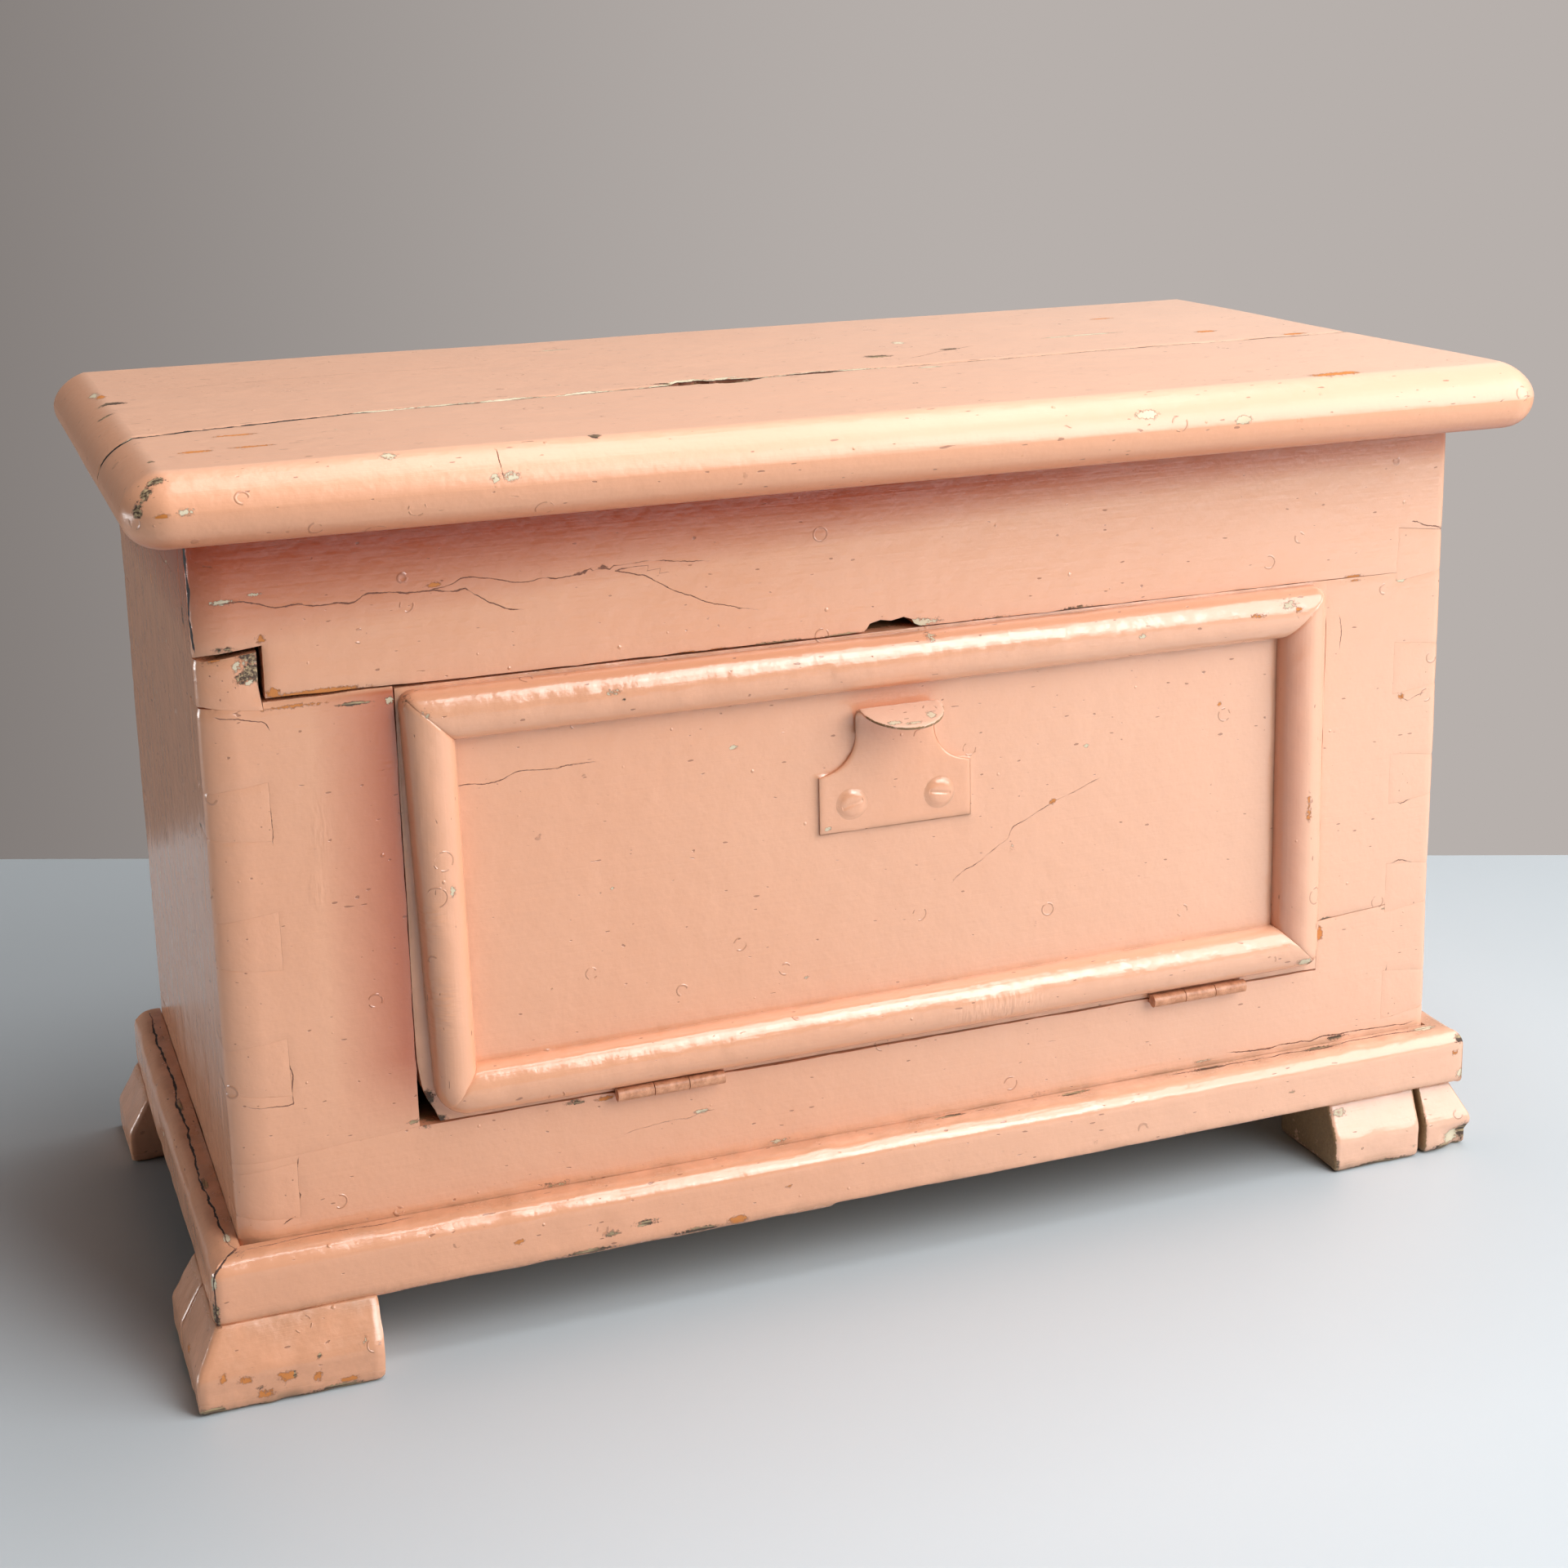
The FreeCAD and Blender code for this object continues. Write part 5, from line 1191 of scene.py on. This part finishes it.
def makeScrews():
    # both heads in one mesh: a dome of rings, a flat disc behind it, and a rim between the two
    points, faces, start = [], [], 0
    for side in (-1, 1):
        top, low = screwHead(side)
        n, count = top.shape[:2]
        for sheet, flip in ((top, False), (low, True)):
            index = start + np.arange(n * count).reshape(n, count)
            nextOne = np.roll(index, -1, axis=0)
            quads = np.stack([index[:, :-1], index[:, 1:], nextOne[:, 1:], nextOne[:, :-1]], -1).reshape(-1,
                4)
            hub = start + n * count
            fan = np.column_stack([np.full(n, hub), index[:, 0], nextOne[:, 0]])
            points += [sheet.reshape(-1, 3), sheet[:, :1].mean(axis=(0, 1), keepdims=True).reshape(1, 3)]
            faces += [quads[:, ::-1] if flip else quads, fan[:, ::-1] if flip else fan]
            if not flip:
                topEdge = index[:, -1]
            else:
                lowEdge = index[:, -1]
                faces.append(np.stack([topEdge, lowEdge, np.roll(lowEdge, -1), np.roll(topEdge, -1)], 1))
            start = hub + 1
    points = np.vstack(points)
    foot = np.clip(1 - (-96.1 - points[:, 1]) / 0.5, 0, 1)
    makePiece("pull_screw_heads", points, faces, paintMarks(points, 1, 0.5 * foot, 0), material=paintX,
        body="flap", slot="painted_pull", replaced="pull_screws", sharp=60)


makeScrews()
print("flap ready")


# The plinth moulding and the feet

plinthForm = {
    # along the walls and down the front left mitre, in plan
    "cracks": [
        (0.42, [(-229.4, 117), (-230.6, 84), (-229.2, 52), (-230.6, 22), (-229.6, -8), (-230.8, -40),
            (-229.6, -72), (-228.6, -95)]),
        (0.2, [(-224, -98.2), (-204, -97.2), (-186, -98), (-168, -97)]),
        (0.26, [(112, -96.8), (134, -97.6), (152, -96.8), (176, -97.9), (200, -96.9), (226, -98.2)]),
        (0.34, [(-226.5, -96.5), (-231, -100.6), (-233.6, -103.8), (-236.6, -105.6)]),
    ],
    "out": 11.5, "bottom": 26, "top": 47.5, "topRound": 6.5, "bottomRound": 1.5, "cornerRound": 3.5,
    "chips": [
        (1, 231.5, -105, 38.8, 1.4, 2, 1.4), (1, -59, -106, 28, 3.4, 2, 1.4), (2, -74, -106, 27, 8, 2, 1.2),
        (2, -92, -106, 33.5, 5, 2, 1), (2, -104, -106, 32, 3, 2, 0.8), (1, -136, -106, 35.5, 2, 2, 1),
        (2, -112, -106, 26.8, 9, 2, 1), (2, 24, -97.2, 47.4, 5, 1, 2), (2, 74, -97, 47.4, 6, 0.9, 2),
        (2, 128, -97.3, 47.4, 7, 1, 2), (2, 176, -97.4, 47.4, 6, 1.2, 2), (0, 222, -98, 47.2, 5, 1.4, 2),
        (0, 234.5, -105, 30, 1.6, 1.6, 2), (0, -236, 20, 38, 2, 2, 1), (1, -236, 60, 27.5, 2, 4, 0.8),
        (2, -235.6, -104.8, 30, 1.4, 1.6, 5), (0, -235.4, -104.8, 41, 0.9, 1.2, 3),
        (2, -229.6, -46, 47, 1, 4, 2), (2, -229.4, 22, 47, 0.9, 5, 2), (0, -228.4, -88, 47.2, 1, 4, 2),
        (2, 234, -104.6, 44, 2.4, 2.4, 1.6),
        (1, -40, -106, 36.5, 1.4, 2, 0.8), (2, 78, -106, 31, 1.6, 2, 0.5), (2, 160, -106, 36, 1.4, 2, 0.7),
    ],
}


def plinthSection(samples):
    # out and up round the outside, then down the wall: (out, height)
    f = plinthForm
    low = np.linspace(0, math.pi / 2, 5)
    arc = np.linspace(0, math.pi / 2, samples)
    out = [np.linspace(0.2, f["out"] - f["bottomRound"], 7),
        f["out"] - f["bottomRound"] + f["bottomRound"] * np.sin(low[1:]), np.full(9, f["out"]),
        f["out"] - f["topRound"] + f["topRound"] * np.cos(arc),
        np.linspace(f["out"] - f["topRound"], 0.2, 6)[1:], np.full(5, 0.2)]
    high = [np.full(7, f["bottom"]), f["bottom"] + f["bottomRound"] * (1 - np.cos(low[1:])),
        np.linspace(f["bottom"] + f["bottomRound"], f["top"] - f["topRound"], 11)[1:-1],
        f["top"] - f["topRound"] + f["topRound"] * np.sin(arc), np.full(5, f["top"]),
        np.linspace(f["top"], f["bottom"], 7)[1:-1]]
    return np.concatenate(out), np.concatenate(high)


def plinth(name, start, stop, outward, mitreStart, mitreStop, seed, material):
    # the section carried from start to stop; a mitred end runs out by as much as the section stands out
    f = plinthForm
    out, high = plinthSection(11)
    start, stop, outward = np.array(start, float), np.array(stop, float), np.array(outward, float)
    run = (stop - start) / np.hypot(*(stop - start))
    a = start + outward * out[:, None] - run * (out[:, None] * mitreStart)
    b = stop + outward * out[:, None] + run * (out[:, None] * mitreStop)
    t = stepsTo(0, 1, 1.8 / np.hypot(*(stop - start)))[:, None, None]
    spot = a + (b - a) * t
    z = np.broadcast_to(high, spot.shape[:2])
    flat = np.dstack([spot, z]).reshape(-1, 3)
    slow = lumps(flat * (1, 1, 0.3), 60, seed).reshape(z.shape)
    rough = lumps(flat, 9, seed + 1).reshape(z.shape)
    inside = np.clip(out / 2, 0, 1)
    lowEdge = np.clip((34 - z) / 8, 0, 1)
    step = (0.8 * np.clip((spot[..., 0] + 24) / 0.8, 0, 1) - 0.5) * lowEdge * inside
    z = (z + step * (z < 30) + 0.35 * rough * lowEdge * inside
        + 0.3 * rough * (z > 44) * inside - 0.3 * (z > 44))
    pull = (0.35 * slow + 0.2 * rough - 0.4) * inside + (-0.7 * np.clip(1 - np.abs(z - 26) / 1.4, 0, 1)
        * inside)
    spot = spot + outward * pull[..., None]
    rows = np.dstack([spot, z])
    # rounding of the two front corners seen from above
    x, y = rows[..., 0].copy(), rows[..., 1].copy()
    r, side, nose = f["cornerRound"], half + f["out"], front - f["out"]
    a, b = np.abs(x) - (side - r), (nose + r) - y
    turned, a, b = rounded(a, b)
    rows[..., 0] = np.where(turned, np.sign(x) * (side - r + a), x)
    rows[..., 1] = np.where(turned, nose + r - b, y)

    def marksAt(points):
        # darker where the plinth meets the wall and along its low edge: dirt with painted shade
        topDarkening = np.clip((points[:, 2] - 45.9) / 1.2, 0, 1) * 0.4
        lowDarkening = np.clip((30.5 - points[:, 2]) / 3.5, 0, 1) * 0.45
        return paintMarks(points, 1, np.maximum(topDarkening, lowDarkening), paintedSheenAt(points),
            chips=chipMarks(points, plinthForm["chips"]),
            crackOne=crackMarks(points[:, :2], plinthForm["cracks"]))

    return carried(name, rows, marksAt, material=material, body="carcass", sharp=50)


plinth("plinth_front", (-half, front), (half, front), (0, -1), 0.985, 0.985, 501, paintX)
plinth("plinth_left", (-half, back), (-half, front), (-1, 0), 0, 0.985, 511, paintY)
plinth("plinth_right", (half, front), (half, back), (1, 0), 0.985, 0, 521, paintY)

footForm = {
    "high": 26, "hip": 12.5,            # the outer faces lean back above the hip
    "lean": 8, "rightLean": 6.7,
    "blocks": {
        # lowest x, highest x, lowest y, highest y, which sides lean: left, right, front
        "foot_front_left_front_block": (-244.5, -183.5, -114.25, -74.3, "left front", 1),
        "foot_front_left_side_block": (-244.5, -213.5, -74.2, -51.25, "left", 2),
        "foot_front_right_front_block": (177.8, 217.1, -108.55, -68.55, "front", 3),
        "foot_front_right_side_block": (217.5, 238.8, -108.55, -45.55, "right front", 4),
        "foot_back_left_block": (-244.5, -204.5, 80.25, back, "left", 5),
        "foot_back_right_block": (198.8, 238.8, 80.25, back, "right", 6),
    },
    "chips": [
        (1, -215, -114, 8.8, 3, 2, 1.6), (1, -229, -114, 10.5, 2.4, 2, 1.2), (2, -240, -113, 1.4, 5, 3, 1.6),
        (2, -200, -114, 1, 8, 3, 1.4), (0, -190, -114, 16, 1.4, 2, 1.8), (2, 198, -108, 0.6, 12, 3, 1.2),
        (0, 231, -106, 5, 4.5, 5, 2.6), (2, 236.5, -105, 6.5, 2.6, 6, 4), (2, 226, -107.5, 1.6, 5.5, 3, 1.4),
        (0, 213, -107, 5, 1.3, 2, 0.9), (2, 190, -108, 8, 0.7, 2, 0.6), (2, -244, -80, 1.2, 3, 8, 1.4),
        (0, 182, -104, 22.5, 4, 2.5, 1), (2, 179, -107, 3, 1.4, 2.5, 2.4), (2, -213, -114, 9, 1, 2, 1.4),
        (2, -224, -114, 6.2, 1.6, 2, 0.6), (2, -205, -113, 13, 0.9, 2, 0.9), (2, -186, -112, 14, 1.2, 3, 1.2),
        (2, -244, -60, 1.5, 3, 6, 1.8), (1, -243, -92, 13, 2, 2.4, 1.2), (1, -222, -114, 4.2, 3.4, 2, 1),
        (1, -206, -114, 6.5, 1.4, 2, 1.8), (1, -196, -114, 3.4, 3, 2, 0.9), (1, -236, -114, 12.5, 1.2, 2, 1.4),
    ],
}


def footBlock(name, x0, x1, y0, y1, sides, seed):
    # a rounded rectangle at each height, drawn in by the lean above the hip; the ends close to the middle
    f = footForm
    heights = np.concatenate([[0, 0.0], [0.25, 0.9], stepsTo(1.8, 24.8, 1.6), [25.6, 26, 26]])
    inset = np.interp(heights, [0, 0.9, 1.8, 24.8, 26], [1.3, 0.35, 0, 0, 0.3])
    count = 4 * 36
    a = np.linspace(0, 2 * math.pi, count, endpoint=False) + math.pi / count
    c, s = np.cos(a), np.sin(a)
    reach = 1 / np.maximum(np.abs(c), np.abs(s))
    square = np.stack([c * reach, s * reach], 1)
    high, around = np.meshgrid(heights, np.arange(count), indexing="ij")
    lean = np.clip((high - f["hip"]) / (f["high"] - f["hip"]), 0,
        1) * (f["lean"] if x0 < 0 else f["rightLean"])
    left = x0 + lean * ("left" in sides)
    # the third block stops short of its neighbour, which leaves a slanting crack
    right = x1 - lean * ("right" in sides) - (1.9 - 1.4 * high / 26) * (seed == 3)
    low = y0 + lean * ("front" in sides)
    ins = np.interp(high, heights, inset)
    cx, cy = (left + right) / 2, (low + y1) / 2
    hx, hy = (right - left) / 2 - ins, (y1 - low) / 2 - ins
    x, y = square[around, 0] * hx, square[around, 1] * hy
    r = 1.3
    p, q = np.abs(x) - (hx - r), np.abs(y) - (hy - r)
    turned, p, q = rounded(p, q)
    x = np.where(turned, np.sign(x) * (hx - r + p), x) + cx
    y = np.where(turned, np.sign(y) * (hy - r + q), y) + cy
    z = high.copy()
    flat = np.dstack([x, y, z]).reshape(-1, 3)
    worn = (0.3 * lumps(flat, 18, 600 + seed) + 0.16 * lumps(flat, 4, 620 + seed) - 0.45).reshape(x.shape)
    splinter = lumps(flat * (1, 1, 0.2), 6, 640 + seed).reshape(x.shape)
    worn = worn - np.clip((2.6 - z) / 2.6, 0, 1) * (0.55 + 0.6 * splinter)
    if seed == 4:       # the outer low corner of this foot has broken away
        worn = worn - 3.4 * np.clip((x - 224) / 10, 0, 1) * np.clip((10.5 - z) / 4, 0,
            1) * (1 + 0.5 * splinter)
    gap = np.hypot(x - cx, y - cy)
    x = x + (x - cx) / gap * worn
    y = y + (y - cy) / gap * worn
    x, y = np.clip(x, x0, x1), np.clip(y, y0, y1)
    rows = np.dstack([x, y, z])
    for end in (0, -1):     # the first and last rings shrink, so that the ends are flat faces with a few rings
        rows[end, :, 0] = cx[end] + (rows[end, :, 0] - cx[end]) * 0.5
        rows[end, :, 1] = cy[end] + (rows[end, :, 1] - cy[end]) * 0.5

    def marksAt(points):
        # darker near the floor and up under the plinth: dirt with painted shade
        dirtAndShade = np.clip((5.5 - points[:, 2]) / 5, 0, 1) * 0.8 + 0.04 + 0.3 * np.clip((points[:, 2] - 22) / 4,
            0, 1)
        chips = chipMarks(points, footForm["chips"])
        chips[:, 2] = np.maximum(chips[:, 2], np.clip(1.75 - points[:, 2] / 1.3, 0, 2))
        cover = np.where(points[:, 2] < 0.3, 0.0, 1.0)
        if seed in (3, 4):      # bare wood in the crack between these two and on the inner side; its dark also paints the shade in the crack and on that face
            inner = np.minimum(np.abs(points[:, 0] - (216.0 if seed == 3 else 217.7)), points[:, 0] - 177.8)
            cover = np.minimum(cover, np.clip(inner / 1.6, 0, 1))
        # the left feet are drawn darker than the right ones; the right ones take the painted sheen of the lit
        # right side
        dirtAndShade = dirtAndShade + (0.22 if x0 < 0 else 0.05)
        return paintMarks(points, cover, np.clip(dirtAndShade, 0, 1), 0.6 * (x0 > 0), chips=chips)

    return carried(name, rows, marksAt, material=paintX, body="carcass", sharp=50)


for name, (x0, x1, y0, y1, sides, seed) in footForm["blocks"].items():
    footBlock(name, x0, x1, y0, y1, sides, seed)
print("plinth and feet ready")


# CAD pieces that stay, with their own finishes
def dressNode(name, material):
    node = nodes[name]
    node.data.materials.clear()
    node.data.materials.append(material)


for name in nodes:
    if name.startswith("floor_") and name.endswith("board") or name in ("flap_stop_strip", "lid_dowels"):
        dressNode(name, pineX)
    elif name.startswith("lid_hinge") and not name.endswith("screws"):
        dressNode(name, ironDark)
    elif name.startswith("flap_hinge") and not name.endswith("screws"):
        dressNode(name, ironPainted)
    elif name.endswith("_screws") or name.endswith("_nails") or name.endswith("_brads"):
        dressNode(name, steelDull)


# Studio

def flatMaterial(name, colour, rough):
    # Matt laminate: one even pale colour that hardly shines, with faint clouds
    material, add = newMaterial(name)
    place = add("TexCoord", {}, "Object")
    cloud = add("TexNoise", {"Vector": place, "Scale": 1.6, "Detail": 2.0})
    pale = [min(1.0, c * 1.03) for c in linear(colour)]
    mixed = add("Mix", {"Factor": cloud, 6: linear(colour), 7: pale}, data_type="RGBA")
    shader = add("BsdfPrincipled", {"Base Color": mixed.node.outputs[2], "Roughness": rough})
    add("OutputMaterial", {"Surface": shader})
    return material


def studioFloor():
    # a broad table top, in front of the line that its far edge runs along
    first, second = np.array(studio["floorEdge"])
    across = (second - first) / np.hypot(*(second - first))
    ahead = np.array([-across[1], across[0]])
    corners = [first + across * a + ahead * b for a,
        b in ((-2600, -3000), (2900, -3000), (2900, 0), (-2600, 0))]
    mesh = bpy.data.meshes.new("table_top")
    low = [(*c, -12.0) for c in corners]
    high = [(*c, 0.0) for c in corners]
    faces = [(4, 5, 6, 7), (3, 2, 1, 0), (0, 1, 5, 4), (1, 2, 6, 5), (2, 3, 7, 6), (3, 0, 4, 7)]
    mesh.from_pydata((np.array(low + high) * 0.001).tolist(), [], faces)
    table = bpy.data.objects.new("table_top", mesh)
    scene.collection.objects.link(table)
    mesh.materials.append(flatMaterial("matt_white_laminate", studio["floorColour"], 0.5))


def softLight(name, place, size, power, aim):
    data = bpy.data.lights.new(name, "AREA")
    data.shape = "RECTANGLE"
    data.size, data.size_y = size[0] * 0.001, size[1] * 0.001
    data.energy = power
    lamp = bpy.data.objects.new(name, data)
    scene.collection.objects.link(lamp)
    at = np.array(place) * 0.001
    back = at - np.array(aim) * 0.001
    back /= np.linalg.norm(back)
    right = np.cross((0, 0, 1), back)
    right /= np.linalg.norm(right)
    up = np.cross(back, right)
    lamp.matrix_world = Matrix([[right[i], up[i], back[i], at[i]] for i in range(3)] + [[0, 0, 0, 1]])


def roomWorld():
    # a warm grey room, darker on the left; gloss and matt surfaces see it dimmer than the camera does
    world = bpy.data.worlds.new("plain_room")
    scene.world = world
    world.use_nodes = True
    world.node_tree.nodes.clear()
    add = partial(addNode, world.node_tree)
    where = add("TexCoord", {}, "Generated")
    x = add("SeparateXYZ", {"Vector": where})
    side = add("MapRange", {"Value": x, "From Min": -0.12, "From Max": 0.46}, interpolation_type="SMOOTHSTEP")
    colour = add("Mix", {"Factor": side, 6: linear(studio["backdropLeft"]), 7: linear(studio["backdrop"])},
        data_type="RGBA")
    sight = add("LightPath").node.outputs
    mirrored = add("Math", {0: sight["Is Glossy Ray"], 1: 0.55}, operation="MULTIPLY")
    seen = add("Math", {0: sight["Is Camera Ray"], 1: mirrored}, operation="MAXIMUM")
    strength = add("MapRange", {"Value": seen, "To Min": 0.3, "To Max": 1.0})
    background = add("Background", {"Color": colour.node.outputs[2], "Strength": strength})
    add("OutputWorld", {"Surface": background})


def photographCamera():
    # right, up and back of a camera that looks along (sin a cos d, cos a cos d, -sin d), then rolled
    turn, down, roll = studio["cameraTurn"], studio["cameraDown"], studio["cameraRoll"]
    ahead = np.array([math.sin(turn) * math.cos(down), math.cos(turn) * math.cos(down), -math.sin(down)])
    right = np.cross(ahead, (0, 0, 1))
    right /= np.linalg.norm(right)
    up = np.cross(right, ahead)
    right, up = math.cos(roll) * right + math.sin(roll) * up, math.cos(roll) * up - math.sin(roll) * right
    at = np.array(studio["cameraPlace"]) * 0.001
    data = bpy.data.cameras.new("photograph")
    data.sensor_width = 36
    data.lens = studio["lens"]
    data.shift_y = studio["shift"]
    camera = bpy.data.objects.new("photograph", data)
    scene.collection.objects.link(camera)
    camera.matrix_world = Matrix([[right[i], up[i], -ahead[i], at[i]] for i in range(3)] + [[0, 0, 0, 1]])
    scene.camera = camera


studioFloor()
for lampName in ("key", "window", "overhead", "leftFill"):
    softLight(lampName + "_softbox", *studio[lampName])
roomWorld()
photographCamera()
scene.view_settings.view_transform = "Standard"
print("studio ready")
